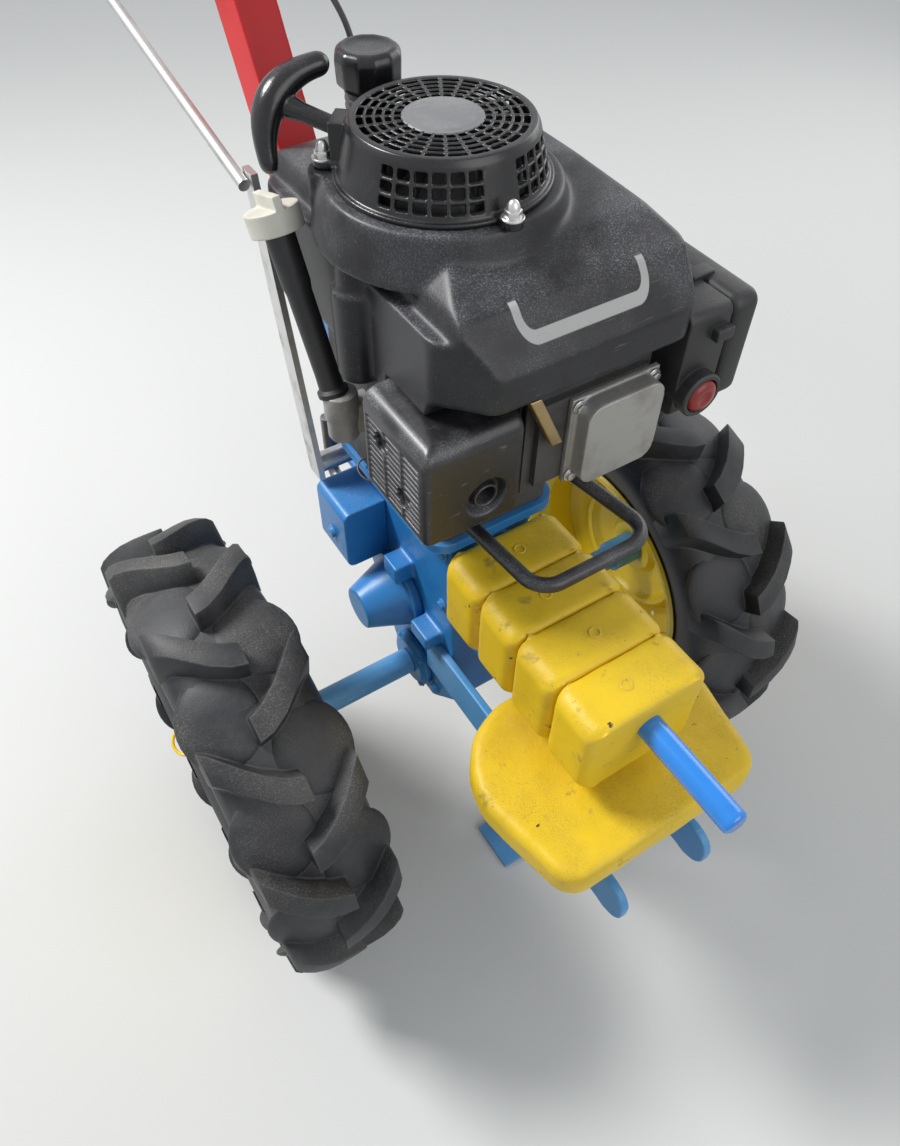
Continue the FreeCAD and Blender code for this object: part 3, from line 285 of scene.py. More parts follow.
# %% Group: label panel
LABEL_X, LABEL_Y = 0.040, -0.450
HALF_WIDE, HALF_DEEP, CORNER = 0.070, 0.033, 0.020
label, label_in, label_mask = new_group("label_panel", [("Outer", 0.0), ("Inner", 1.0), ("Below", 1.0)])
on_hood = add_node(label, "TexCoord").outputs["Object"]
from_label = add_node(label, "Mapping", {"Vector": on_hood, "Location": (-LABEL_X, -LABEL_Y, 0)}).outputs[0]
spot = add_node(label, "SeparateXYZ", {0: from_label}).outputs
beyond = []
for axis, half in (("X", HALF_WIDE), ("Y", HALF_DEEP)):
    past = math_node(label, "SUBTRACT", math_node(label, "ABSOLUTE", spot[axis]), half - CORNER)
    past = math_node(label, "MAXIMUM", past, 0.0)
    beyond.append(math_node(label, "MULTIPLY", past, past))
distance = math_node(label, "SUBTRACT", math_node(label, "SQRT", math_node(label, "ADD", *beyond)), CORNER)


def within(offset):
    """1 inside the outline moved inwards by offset, 0 outside."""
    depth = math_node(label, "SUBTRACT", math_node(label, "MULTIPLY", distance, -1.0), offset)
    return ramp_node(label, depth, -0.3 * MM, 0.3 * MM)


strip = math_node(label, "SUBTRACT", within(label_in["Outer"]), within(label_in["Inner"]))
low_part = ramp_node(label, math_node(label, "SUBTRACT", label_in["Below"], spot["Y"]), -1 * MM, 1 * MM)
low_strip = math_node(label, "MULTIPLY", strip, low_part)
feed(label, math_node(label, "MULTIPLY", low_strip, looks_up(label, 0.3, 0.5)), label_mask)
print("group", label.name)

# %% [markdown]
# ## One way to build a finish
# A finish is a colour and a roughness, with thin layers over it, each laid where a mask says.
# The helper below stacks them as a painter would: primer first, then stains, then dust. Each
# material could be wired by hand in the editor, but a short table of layers is easier to read.
#
# A layer names its effect, the effect's own values, a colour and a roughness. The values are:
# blotches: scale, low, high; dust (on the weights also painted shade): amount, scale, speckle;
# scratches: amount; edge wear (on the hood also painted sheen): width in metres, amount, scale;
# label_panel: outer, inner, below.
# The relief is grain: fine, coarse, share of the coarse, and depth in mm.

# %% Helper: a finish with layers
COAT_ROUGHNESS = 0.1


def masked(tree, effect, values):
    """The output of an effect's group, placed with values in the order of its inputs."""
    group = bpy.data.node_groups[effect]
    return add_node(tree, "Group", dict(enumerate(values)), node_tree=group).outputs[0]


def stack(tree, socket, below, layers, kind):
    """Mix each layer's value over what is below it, and feed the last result to a socket."""
    under, over, result = (6, 7, 2) if kind == "RGBA" else (2, 3, 0)
    for mask, value in layers:
        below = add_node(tree, "Mix", {0: mask, under: below, over: value}, data_type=kind).outputs[result]
    feed(tree, below, socket)


def finish(name, colour, roughness, layers, relief=None, metallic=0.0, coat=0.0, shine=0.5):
    material = bpy.data.materials.new(name)
    material.use_nodes = True
    tree = material.node_tree
    shader = tree.nodes["Principled BSDF"].inputs
    shader["Metallic"].default_value = metallic
    shader["Coat Weight"].default_value = coat
    shader["Coat Roughness"].default_value = COAT_ROUGHNESS
    shader["Specular IOR Level"].default_value = shine
    laid = [(masked(tree, effect, values), tint, rough) for effect, *values, tint, rough in layers]
    stack(tree, shader["Base Color"], (*colour, 1), [(mask, (*tint, 1)) for mask, tint, _ in laid], "RGBA")
    stack(tree, shader["Roughness"], roughness, [(mask, rough) for mask, _, rough in laid], "FLOAT")
    if relief:
        *pattern, depth = relief
        heights = {"Height": masked(tree, "grain", pattern), "Distance": depth * MM}
        feed(tree, add_node(tree, "Bump", heights).outputs["Normal"], shader["Normal"])
    return material


print("finish helper ready")

# %% [markdown]
# ## Rubber, plastic and black paint
# Tyre rubber greys as it dries out, and soil stays in the low places. Engine plastic fades to a
# soft grey with a white speckle, while the muffler guard keeps a glossier black. All of them are
# dark with a pale layer over them, so only the amounts and the sizes of the pattern differ.

# %% Black finishes
tyre_rubber = finish("tyre_rubber", (0.016, 0.017, 0.020), 0.48, [
    ("blotches", 9, 0.42, 0.72, (0.052, 0.053, 0.056), 0.62),
    ("scratches", 0.35, (0.10, 0.10, 0.098), 0.8),
    ("dust_and_shade", 0.75, 10, 700, (0.20, 0.19, 0.17), 0.9),
    ("edge_wear_and_sheen", 0.004, 0.45, 90, (0.13, 0.13, 0.128), 0.8)],
    (700, 60, 0.6, 0.5), shine=0.4)
hood_plastic = finish("hood_plastic", (0.012, 0.012, 0.014), 0.36, [
    ("blotches", 7, 0.40, 0.75, (0.030, 0.031, 0.034), 0.46),
    ("label_panel", 0, 1, 1, (0.010, 0.010, 0.011), 0.30),
    ("label_panel", 0.003, 0.0105, -0.004, (0.46, 0.46, 0.44), 0.5),
    ("dust_and_shade", 0.5, 14, 750, (0.32, 0.32, 0.34), 0.7),
    ("scratches", 0.30, (0.16, 0.16, 0.165), 0.6),
    # lighter edges: partly wear, partly a painted highlight for the sheen of light along the hood's edges
    ("edge_wear_and_sheen", 0.005, 0.42, 80, (0.24, 0.24, 0.25), 0.45)],
    (1200, 120, 0.25, 0.12), shine=0.35)
grille_plastic = finish("grille_plastic", (0.007, 0.007, 0.008), 0.28, [
    ("dust_and_shade", 0.35, 20, 800, (0.16, 0.16, 0.16), 0.6),
    ("edge_wear_and_sheen", 0.0012, 0.30, 120, (0.10, 0.10, 0.10), 0.5)],
    (1500, 200, 0.3, 0.06))
disc_plastic = finish("disc_plastic", (0.16, 0.16, 0.165), 0.45, [
    ("blotches", 30, 0.45, 0.8, (0.22, 0.22, 0.22), 0.55),
    ("scratches", 0.5, (0.34, 0.34, 0.34), 0.6)], (1200, 100, 0.3, 0.05))
black_paint = finish("black_paint", (0.012, 0.012, 0.014), 0.38, [
    ("dust_and_shade", 0.75, 16, 900, (0.36, 0.36, 0.38), 0.6),
    ("scratches", 0.30, (0.20, 0.20, 0.20), 0.5),
    ("edge_wear_and_sheen", 0.0015, 0.16, 100, (0.20, 0.20, 0.21), 0.4)],
    (1100, 140, 0.3, 0.10), coat=0.1)
soft_black = finish("soft_black", (0.014, 0.014, 0.015), 0.5, [
    ("dust_and_shade", 0.45, 25, 800, (0.17, 0.17, 0.17), 0.75),
    ("edge_wear_and_sheen", 0.0025, 0.4, 90, (0.12, 0.12, 0.12), 0.6)], (900, 150, 0.4, 0.10))
gloss_black = finish("gloss_black", (0.006, 0.006, 0.007), 0.24, [
    ("dust_and_shade", 0.30, 30, 900, (0.20, 0.20, 0.21), 0.6),
    ("edge_wear_and_sheen", 0.002, 0.30, 90, (0.11, 0.11, 0.11), 0.5)], (1000, 150, 0.4, 0.08))
print("black finishes made")
# %% [markdown]
# ## Paint
# The weights and rims are yellow, brushed on thick: it has run, caught grit and chipped down to
# dark iron. The dark on the tops of the weights is partly that grit and partly painted shade from
# the engine above them. The gearbox is a cast blue enamel, and the rails under it are the same
# paint worn thin. The bar is newer and glossier. Worn spots are darker and rougher, so they need
# both a colour and a roughness of their own.

# %% Yellow, blue and red paint
weight_yellow = finish("weight_yellow", (0.74, 0.50, 0.010), 0.45, [
    ("blotches", 11, 0.42, 0.80, (0.60, 0.385, 0.010), 0.58),
    # dark on what faces up: partly grit, partly painted shade where the engine shades the tops
    ("dust_and_shade", 0.5, 17, 850, (0.22, 0.15, 0.03), 0.8),
    ("blotches", 38, 0.60, 0.72, (0.40, 0.27, 0.03), 0.7),
    ("edge_wear_and_sheen", 0.006, 0.35, 70, (0.46, 0.32, 0.05), 0.7),
    ("blotches", 75, 0.68, 0.72, (0.050, 0.040, 0.025), 0.85)],
    (500, 55, 0.7, 0.9))
rim_yellow = finish("rim_yellow", (0.82, 0.58, 0.010), 0.34, [
    ("blotches", 16, 0.5, 0.85, (0.70, 0.46, 0.010), 0.45),
    ("edge_wear_and_sheen", 0.002, 0.5, 90, (0.40, 0.28, 0.05), 0.7),
    ("blotches", 60, 0.70, 0.74, (0.10, 0.07, 0.03), 0.8)],
    (700, 60, 0.5, 0.25))
cast_blue = finish("cast_blue", (0.018, 0.190, 0.50), 0.34, [
    ("blotches", 14, 0.42, 0.8, (0.012, 0.130, 0.38), 0.45),
    ("dust_and_shade", 0.45, 16, 500, (0.24, 0.33, 0.42), 0.7),
    ("edge_wear_and_sheen", 0.004, 0.55, 80, (0.12, 0.34, 0.60), 0.45),
    ("blotches", 70, 0.70, 0.73, (0.10, 0.075, 0.05), 0.85)],
    (600, 90, 0.6, 0.35))
worn_blue = finish("worn_blue", (0.060, 0.270, 0.56), 0.40, [
    ("blotches", 10, 0.40, 0.75, (0.115, 0.31, 0.58), 0.5),
    ("scratches", 0.5, (0.32, 0.47, 0.64), 0.55),
    ("edge_wear_and_sheen", 0.003, 0.6, 70, (0.34, 0.30, 0.27), 0.6),
    ("blotches", 34, 0.66, 0.70, (0.13, 0.085, 0.055), 0.85)],
    (600, 70, 0.5, 0.25))
bar_blue = finish("bar_blue", (0.006, 0.205, 0.66), 0.24, [
    ("blotches", 30, 0.5, 0.85, (0.005, 0.16, 0.55), 0.3),
    ("edge_wear_and_sheen", 0.002, 0.35, 100, (0.12, 0.30, 0.62), 0.4)],
    (500, 45, 0.7, 0.18), coat=0.6)
column_red = finish("column_red", (0.56, 0.006, 0.010), 0.36, [
    ("blotches", 12, 0.5, 0.85, (0.42, 0.005, 0.008), 0.45),
    ("scratches", 0.3, (0.46, 0.06, 0.05), 0.5),
    ("dust_and_shade", 0.35, 12, 700, (0.30, 0.10, 0.09), 0.7),
    ("edge_wear_and_sheen", 0.0025, 0.45, 90, (0.12, 0.10, 0.10), 0.6)],
    (800, 60, 0.4, 0.12), shine=0.28)
print("paints made")
# %% [markdown]
# ## Bare metal, ivory plastic and red rubber
# The valve cover is sand-cast aluminium, pale and dull. Rods and nuts are zinc plated, and the
# cooling bracket has a bronze tone. The oil cap was white and has yellowed. Metal takes its colour
# from Base Color when Metallic is 1, so those tones are lighter than paint would need.

# %% Metal, ivory and red
cast_aluminium = finish("cast_aluminium", (0.37, 0.365, 0.35), 0.55, [
    ("blotches", 24, 0.45, 0.8, (0.25, 0.235, 0.21), 0.66),
    ("dust_and_shade", 0.5, 30, 600, (0.40, 0.37, 0.33), 0.8)],
    (650, 150, 0.5, 0.7), metallic=0.6)
zinc = finish("zinc", (0.62, 0.62, 0.61), 0.34, [
    ("blotches", 40, 0.45, 0.75, (0.40, 0.39, 0.37), 0.5),
    ("edge_wear_and_sheen", 0.0015, 0.4, 100, (0.75, 0.75, 0.74), 0.3)],
    (900, 120, 0.4, 0.08), metallic=0.95)
dark_steel = finish("dark_steel", (0.22, 0.215, 0.21), 0.45, [
    ("blotches", 35, 0.48, 0.72, (0.15, 0.11, 0.08), 0.7)], (700, 100, 0.5, 0.2), metallic=0.8)
bronze = finish("bronze", (0.42, 0.31, 0.16), 0.38, [
    ("blotches", 40, 0.45, 0.8, (0.24, 0.17, 0.09), 0.5)], (900, 120, 0.4, 0.1), metallic=0.9)
ivory = finish("ivory_plastic", (0.60, 0.585, 0.51), 0.42, [
    ("blotches", 28, 0.45, 0.8, (0.47, 0.45, 0.37), 0.5),
    ("dust_and_shade", 0.4, 30, 700, (0.35, 0.32, 0.27), 0.8)], (1000, 120, 0.4, 0.08))
red_rubber = finish("red_rubber", (0.24, 0.010, 0.008), 0.30, [
    ("blotches", 60, 0.45, 0.75, (0.14, 0.012, 0.010), 0.5),
    ("dust_and_shade", 0.35, 40, 900, (0.32, 0.22, 0.20), 0.8)], (900, 150, 0.4, 0.06))
grip_rubber = finish("grip_rubber", (0.018, 0.018, 0.019), 0.62, [
    ("blotches", 30, 0.4, 0.75, (0.050, 0.050, 0.050), 0.72),
    ("dust_and_shade", 0.4, 25, 800, (0.15, 0.14, 0.13), 0.85)], (800, 120, 0.4, 0.15))
cable_skin = finish("cable_skin", (0.012, 0.012, 0.013), 0.38, [
    ("dust_and_shade", 0.4, 40, 900, (0.14, 0.14, 0.14), 0.7)], (900, 150, 0.4, 0.05))
# near-black disc for the muffler outlet: painted shade for the dark inside of the pipe
painted_outlet_shade = finish("painted_outlet_shade", (0.004, 0.004, 0.004), 0.95, [("blotches", 60, 0.4, 0.8, (0.008, 0.007, 0.006), 0.95)])
engine_casting = finish("engine_casting", (0.085, 0.085, 0.085), 0.6, [
    ("blotches", 20, 0.4, 0.75, (0.045, 0.042, 0.040), 0.75),
    ("dust_and_shade", 0.5, 20, 500, (0.20, 0.18, 0.15), 0.9)],
    (650, 130, 0.5, 0.6), metallic=0.4)
print("metal, ivory and red made")
# %% [markdown]
# ## Dress the measured solids
# Every solid gets the finish of the part it stands for. Some are right as they are and keep
# only this; the others are shown by a finer piece further down, but still get it, so that no
# plain grey is ever left. A table by finish is short and easy to check.

# %% Finishes of the solids
WEARS = {}
for material, names in (
    (tyre_rubber, "tyre_left tyre_right"),
    (rim_yellow, "rim_left rim_right"),
    (weight_yellow, "weight_plate weight_block_1 weight_block_2 weight_block_3 weight_block_4"),
    (cast_blue, "axle_bearing_left axle_bearing_right gearbox_housing gear_selector_box pto_cover"),
    (cast_blue, "front_socket engine_deck column_bracket hitch_bracket"),
    (worn_blue, "hub_tube_left hub_tube_right weight_carrier stand_leg"),
    (bar_blue, "weight_bar"),
    (column_red, "handlebar_column handlebar_head handlebar_tube_left handlebar_tube_right"),
    (grip_rubber, "grip_left grip_right"),
    (cable_skin, "throttle_cable"),
    (engine_casting, "engine_block cylinder_head"),
    (cast_aluminium, "valve_cover"),
    (hood_plastic, "engine_shroud"),
    (grille_plastic, "fan_cover"),
    (soft_black, "fuel_cap pull_handle oil_filler_tube air_filter_housing"),
    (black_paint, "muffler_guard guard_loop"),
    (red_rubber, "primer_bulb"),
    (ivory, "oil_filler_cap"),
    (bronze, "exhaust_bracket"),
    (dark_steel, "hitch_lock_bar"),
    (zinc, "fan_nuts shift_lever shift_rod"),
):
    WEARS.update(dict.fromkeys(names.split(), material))
for name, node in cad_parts.items():
    node.data.materials.clear()
    node.data.materials.append(WEARS[name])
print(len(WEARS), "solids dressed")

# %% [markdown]
# ## Throttle cable
# The cable leaves the shroud's rear face and arches up to the top of the column. A cable is a
# curve with a round section, and its control points repeat the measured route. It could be a
# solid tube, but only a curve lets its length be measured, so it is made before all other pieces.
# Every piece is tied to the body that it moves with, and hides the solids that it stands for.

# %% Helper: a piece's finish, body and solids
def smooth_by_angle(piece, degrees):
    """Shade a piece smooth, except across edges sharper than an angle."""
    select_only(piece)
    bpy.ops.object.shade_smooth_by_angle(angle=math.radians(degrees))


def dressed(piece, material, body, slot, *nodes, angle=None):
    if angle:
        smooth_by_angle(piece, angle)
    piece.data.materials.clear()
    piece.data.materials.append(material)
    if nodes:
        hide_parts(*nodes)
    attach(piece, body)
    return piece


print("dressing helper ready")

# %% Throttle cable
CABLE_ROUTE = [
    # x, y and z (mm)
    (34, -135, 872), (34, -102, 874), (34, -110, 952), (26, -72, 994), (14, 12, 1030), (12, 88.5, 1041),
]
wire_line = bpy.data.curves.new("throttle_cable_piece", "CURVE")
wire_line.dimensions = "3D"
wire_line.bevel_depth = 3 * MM
wire_line.bevel_resolution = 4
wire_line.resolution_u = 24
wire_line.use_fill_caps = True
spline = wire_line.splines.new("NURBS")
spline.points.add(len(CABLE_ROUTE) - 1)
for point, place in zip(spline.points, CABLE_ROUTE):
    point.co = (*[v * MM for v in place], 1)
spline.order_u = 3
spline.use_endpoint_u = True
cable = put("throttle_cable_piece", wire_line)
dressed(cable, cable_skin, "machine", "grip_rubber", "throttle_cable")
print("cable ready")

# %% [markdown]
# ## From a measured solid to a finished casting
# A casting has no sharp edge anywhere. One way is to bevel a copy of the solid, but a bevel needs
# clean edges, and these meshes are full of thin triangles. So the copy is filled with small voxels,
# skinned again and smoothed, which rounds every edge by about as much as sand or a mould does.

# %% Helpers: modifiers, and a rounded copy of a solid
lumps = bpy.data.textures.new("lumps", "CLOUDS")
lumps.noise_scale = 0.035


def add_modifier(piece, kind, **settings):
    modifier = piece.modifiers.new(kind.lower(), kind)
    for setting, value in settings.items():
        setattr(modifier, setting, value)


def apply_modifiers(piece):
    select_only(piece)
    for modifier in list(piece.modifiers):
        bpy.ops.object.modifier_apply(modifier=modifier.name)


def reskin(piece, voxel, smoothing, keep, lumpy=0):
    """A new skin made of voxels, uneven by lumpy, smoothed, and thinned to a share of its faces."""
    add_modifier(piece, "REMESH", mode="VOXEL", voxel_size=voxel * MM, use_smooth_shade=True)
    if lumpy:
        add_modifier(piece, "DISPLACE", texture=lumps, strength=lumpy * MM, texture_coords="LOCAL")
    add_modifier(piece, "SMOOTH", iterations=smoothing)
    add_modifier(piece, "DECIMATE", ratio=keep)
    apply_modifiers(piece)
    bpy.ops.object.shade_smooth()


def edit(piece):
    select_only(piece)
    bpy.ops.object.mode_set(mode="EDIT")
    return bmesh.from_edit_mesh(piece.data)


def cast_copy(node, voxel, smoothing, keep):
    piece = put(node + "_piece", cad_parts[node].data.copy())
    edit(piece)
    select_mesh()
    bpy.ops.mesh.remove_doubles(threshold=0.01 * MM)
    bpy.ops.object.mode_set(mode="OBJECT")
    reskin(piece, voxel, smoothing, keep)
    print(piece.name, len(piece.data.polygons), "faces")
    return piece


print("cast copy ready")

# %% [markdown]
# ### Castings and mouldings
# The gearbox, the selector box, the cone, the brackets and the engine's castings all take the
# same treatment, each with voxels small enough for its thinnest wall.

# %% Castings
CASTINGS = [
    # solid, slot, body, voxel (mm), smoothing, share of faces kept
    ("gearbox_housing", "blue_casting", "machine", 2.2, 6, 0.5),
    ("gear_selector_box", "blue_casting", "machine", 1.2, 7, 0.5),
    ("pto_cover", "blue_casting", "machine", 1.4, 5, 0.5),
    ("axle_bearing_left", "blue_casting", "machine", 1.4, 4, 0.6),
    ("axle_bearing_right", "blue_casting", "machine", 1.4, 4, 0.6),
    ("engine_shroud", "black_plastic", "machine", 2.0, 24, 0.5),
    ("valve_cover", "engine_metal", "machine", 1.2, 6, 0.5),
    ("column_bracket", "blue_casting", "machine", 1.5, 3, 0.5),
    ("hitch_bracket", "blue_casting", "machine", 1.5, 3, 0.5),
    ("muffler_guard", "black_metal", "machine", 1.1, 12, 0.5),
    ("oil_filler_cap", "pale_plastic", "machine", 0.7, 7, 0.5),
    ("fan_cover", "black_plastic", "machine", 0.95, 2, 0.5),
    ("exhaust_bracket", "bare_steel", "machine", 0.8, 4, 0.5),
    ("handlebar_column", "red_steel", "machine", 1.6, 3, 0.5),
    ("handlebar_head", "red_steel", "handlebars", 1.3, 4, 0.5),
    ("hitch_lock_bar", "blue_steel", "machine", 1.0, 2, 0.5),
    ("weight_carrier", "blue_steel", "machine", 1.8, 3, 0.4),
    ("front_socket", "blue_steel", "machine", 1.0, 3, 0.5),
]
for node, slot, body, voxel, smoothing, keep in CASTINGS:
    dressed(cast_copy(node, voxel, smoothing, keep), WEARS[node], body, slot, node)
print(len(CASTINGS), "castings")

# %% [markdown]
# ## Drawing a shape
# Many pieces are round, so one outline of radius and distance along an axis, spun a full turn, makes
# them. Others are drawn out: a first ring of points becomes a face, and each extrusion carries it to
# the next ring. Both could be built point by point, but these are the moves that a hand would make.

# %% Helpers: drawing, spinning and extruding an outline
def new_piece(name, add, **values):
    deselect()
    add(**values)
    piece = bpy.context.object
    piece.name = name
    piece.data.name = name
    return piece


def settle(piece):
    """Leave edit mode and put the place into the mesh."""
    bpy.ops.object.mode_set(mode="OBJECT")
    select_only(piece)
    bpy.ops.object.transform_apply(location=True, rotation=True, scale=True)
    return piece


def close_up(piece):
    """Turn every face outwards and settle the piece."""
    select_mesh()
    bpy.ops.mesh.normals_make_consistent(inside=False)
    return settle(piece)


def outline(name, points):
    """An open line of edges through points, in metres, drawn by extruding one vertex."""
    piece = new_piece(name, bpy.ops.mesh.primitive_plane_add, size=0.01, location=(0, 0, 0))
    bpy.ops.object.mode_set(mode="EDIT")
    select_mesh()
    bpy.ops.mesh.merge(type="CENTER")
    last = ORIGIN
    for number, point in enumerate(points):
        step = Vector(point) - last
        if number == 0:
            bpy.ops.transform.translate(value=step)
        else:
            bpy.ops.mesh.extrude_vertices_move(TRANSFORM_OT_translate={"value": step})
        last = Vector(point)
    return piece


def spun(name, line, foot, axis, steps, out=ALONG_X, closed_line=False, open_ends=False):
    """A full turn round an axis through foot of a line of (radius, distance along the axis) in mm."""
    points = [[foot[i] + (out[i] * radius + axis[i] * along) * MM for i in range(3)]
              for radius, along in line]
    piece = outline(name, points)
    if closed_line:
        mesh = bmesh.from_edit_mesh(piece.data)
        for vertex in mesh.verts:
            vertex.select = len(vertex.link_edges) == 1
        mesh.select_flush_mode()
        bmesh.update_edit_mesh(piece.data)
        bpy.ops.mesh.edge_face_add()
    select_mesh()
    bpy.ops.mesh.spin(steps=steps, angle=2 * math.pi, center=foot, axis=axis, use_auto_merge=True)
    select_mesh()
    bpy.ops.mesh.remove_doubles(threshold=0.02 * MM)
    if not open_ends:
        bpy.ops.mesh.fill_holes(sides=0)
    return close_up(piece)


def drawn_out(name, rings):
    """A closed skin through rings of points, each with the same number of points."""
    count = len(rings[0])
    piece = new_piece(name, bpy.ops.mesh.primitive_circle_add, vertices=count, radius=0.01, fill_type="NGON")
    mesh = edit(piece)
    mesh.verts.ensure_lookup_table()
    for vertex, place in zip(mesh.verts, rings[0]):
        vertex.co = place
    bmesh.update_edit_mesh(piece.data)
    select_mesh()
    for before, after in zip(rings, rings[1:]):
        bpy.ops.mesh.extrude_region_move()
        mesh = bmesh.from_edit_mesh(piece.data)
        # the new end still lies on the old one, so each point goes from its place to the next
        for vertex in [v for v in mesh.verts if v.select]:
            nearest = min(range(count), key=lambda i: (before[i] - vertex.co).length)
            vertex.co = after[nearest]
        bmesh.update_edit_mesh(piece.data)
    return close_up(piece)


def join(pieces):
    deselect()
    for piece in pieces:
        piece.select_set(True)
    bpy.context.view_layer.objects.active = pieces[0]
    bpy.ops.object.join()
    return bpy.context.object


def turned_copy(piece, name, matrix):
    copy = put(name, piece.data.copy())
    copy.data.transform(matrix)
    if matrix.determinant() < 0:
        copy.data.flip_normals()
    return copy


def about(point, matrix):
    return Matrix.Translation(point) @ matrix @ Matrix.Translation(-point)


def turned_about(point, share, axis):
    """A share of a full turn about an axis through a point."""
    return about(point, Matrix.Rotation(2 * math.pi * share, 4, axis))


print("drawing helpers ready")

# %% [markdown]
# ## Tyres
# A farm tyre is a smooth carcass with a row of tall lugs in each half, set half a step apart,
# so that they make a V. A lug is drawn out from a chisel nose near the middle, over the shoulder and
# down the side, and a bevel softens it. It is made once, copied round the wheel and mirrored for the
# other half, which is how a mould is cut.

# %% One lug
AXLE_Y, AXLE_Z = -0.338, 0.285
TREAD_RADIUS, FLANK_LEAN = 270.0, 0.165
LUG_STATIONS = [
    # out from the middle, along the tread, half width, top radius, foot radius (mm)
    (-12, 2, 12.5, 284.8, 252), (4, 7, 14.0, 285.0, 252), (22, 18, 15.0, 285.0, 251),
    (38, 32, 15.5, 284.0, 247), (52, 46, 16.0, 281.0, 241), (62, 56, 16.5, 277.0, 234),
    (68.5, 61, 16.5, 271.0, 226), (70.5, 62, 15.5, 246.0, 220),
]


def lug_point(out, along, radius):
    angle = along / TREAD_RADIUS
    return Vector((out * MM, AXLE_Y + radius * MM * math.sin(angle), AXLE_Z + radius * MM * math.cos(angle)))


def lug_section(out, along, half, top, foot):
    wider = half + FLANK_LEAN * (top - foot)
    return [lug_point(out, along + wider, foot), lug_point(out, along + half, top),
            lug_point(out, along - half, top), lug_point(out, along - wider, foot)]


lug = drawn_out("lug", [lug_section(*station) for station in LUG_STATIONS])
add_modifier(lug, "BEVEL", width=1.5 * MM, segments=2, limit_method="ANGLE", angle_limit=math.radians(35))
apply_modifiers(lug)
# the tread bulges between two lugs, with an arc where the bulge ends
BULGE_ALONG = 100
bulge = new_piece("bulge", bpy.ops.mesh.primitive_uv_sphere_add, segments=32, ring_count=16, radius=1,
                  scale=(0.044, 0.050, 0.0105), location=lug_point(36, BULGE_ALONG, 247),
                  rotation=(-104 / TREAD_RADIUS, math.radians(14), 0))
lug = join([lug, settle(bulge)])
print("lug", len(lug.data.polygons), "faces")

# %% Carcass and both tyres
WHEEL_OUT, LUGS = 0.298, 12
hub_point = Vector((0, AXLE_Y, AXLE_Z))
CARCASS = [
    # radius, out from the middle (mm), from the bead to the crown
    (158, 49), (171, 49), (184, 56), (200, 64), (216, 68.5), (228, 68), (240, 63), (248, 55), (253.5, 43),
    (256.5, 28), (258, 10),
]
INSIDE = [(158, -40), (212, -56), (246, -30), (246, 30), (212, 56), (158, 40)]
other_half = [(radius, -out) for radius, out in reversed(CARCASS)]
carcass = spun("carcass", CARCASS + other_half + INSIDE, hub_point, ALONG_X, 96, out=ALONG_Z,
               closed_line=True)
mirrored = about(hub_point, Matrix.Scale(-1, 4, ALONG_X))
lugs = []
for number in range(LUGS):
    lugs.append(turned_copy(lug, "lug_a", turned_about(hub_point, -number / LUGS, "X")))
    half_step = turned_about(hub_point, -(number + 0.5) / LUGS, "X")
    lugs.append(turned_copy(lug, "lug_b", half_step @ mirrored))
tread = join([carcass] + lugs)
for side, hand in SIDES:
    tyre = turned_copy(tread, f"tyre_{hand}_piece", Matrix.Translation((side * WHEEL_OUT, 0, 0)))
    dressed(tyre, tyre_rubber, f"wheel_{hand}", "tyre", f"tyre_{hand}", angle=40)
for pattern in (lug, tread):
    bpy.data.objects.remove(pattern)
print("tyres", len(tyre.data.polygons), "faces each")

# %% [markdown]
# ## Rims
# The rim is pressed from sheet: a flange that holds the tyre, a sunk barrel, and a dish with a
# raised ring round the hub. One outline spun round the axle gives both faces, and the sheet gets its
# thickness afterwards. The round holes are cut by a Boolean, because a hole in a spun mesh has
# no edges to start from.

# %% Rims
SHEET = 3 * MM
RIM_LINE = [
    # radius, out along the axle (mm): inner flange, barrel, outer flange
    (168, -55), (170.5, -53), (168, -51), (159, -50.5), (155, -46), (153.5, -30), (144, -22), (142, 20),
    (153, 28), (155, 46), (159, 50.5), (168, 51), (170.5, 53), (168, 55),
]
DISH_LINE = [
    # radius, out along the axle (mm): from the barrel to the hub
    (141, 18), (134, 22), (124, 25), (108, 31), (102, 29), (99, 22), (94, 18), (88, 19), (84, 27),
    (78, 30), (46, 31), (41, 27), (38, 22), (30, 21), (23, 24), (21, 36), (17.5, 36),
]
HOLES, HOLE_CIRCLE, HOLE_RADIUS, HOLE_OUT = 5, 116 * MM, 4 * MM, 28 * MM


def cut(piece, tool):
    """Take a tool's shape out of a piece, and the tool away."""
    add_modifier(piece, "BOOLEAN", operation="DIFFERENCE", solver="EXACT", object=tool)
    apply_modifiers(piece)
    bpy.data.objects.remove(tool)


barrel, dish = [spun(name, line, hub_point, ALONG_X, 96, out=ALONG_Z, open_ends=True)
                for name, line in (("barrel", RIM_LINE), ("dish", DISH_LINE))]
for sheet in (barrel, dish):
    add_modifier(sheet, "SOLIDIFY", thickness=SHEET, offset=0)
    apply_modifiers(sheet)
for number in range(HOLES):
    angle = 2 * math.pi * number / HOLES
    place = hub_point + Vector((HOLE_OUT, HOLE_CIRCLE * math.sin(angle), HOLE_CIRCLE * math.cos(angle)))
    cut(dish, new_piece("bit", bpy.ops.mesh.primitive_cylinder_add, vertices=24, radius=HOLE_RADIUS,
                        depth=30 * MM, location=place, rotation=(0, math.pi / 2, 0)))
rim = join([barrel, dish])
for side, hand in SIDES:
    to_wheel = Matrix.Translation((side * WHEEL_OUT, 0, 0)) @ (Matrix.Identity(4) if side > 0 else mirrored)
    wheel_rim = turned_copy(rim, f"rim_{hand}_piece", to_wheel)
    dressed(wheel_rim, rim_yellow, f"wheel_{hand}", "rim_yellow", f"rim_{hand}", angle=40)
bpy.data.objects.remove(rim)
print("rims", len(wheel_rim.data.polygons), "faces each")

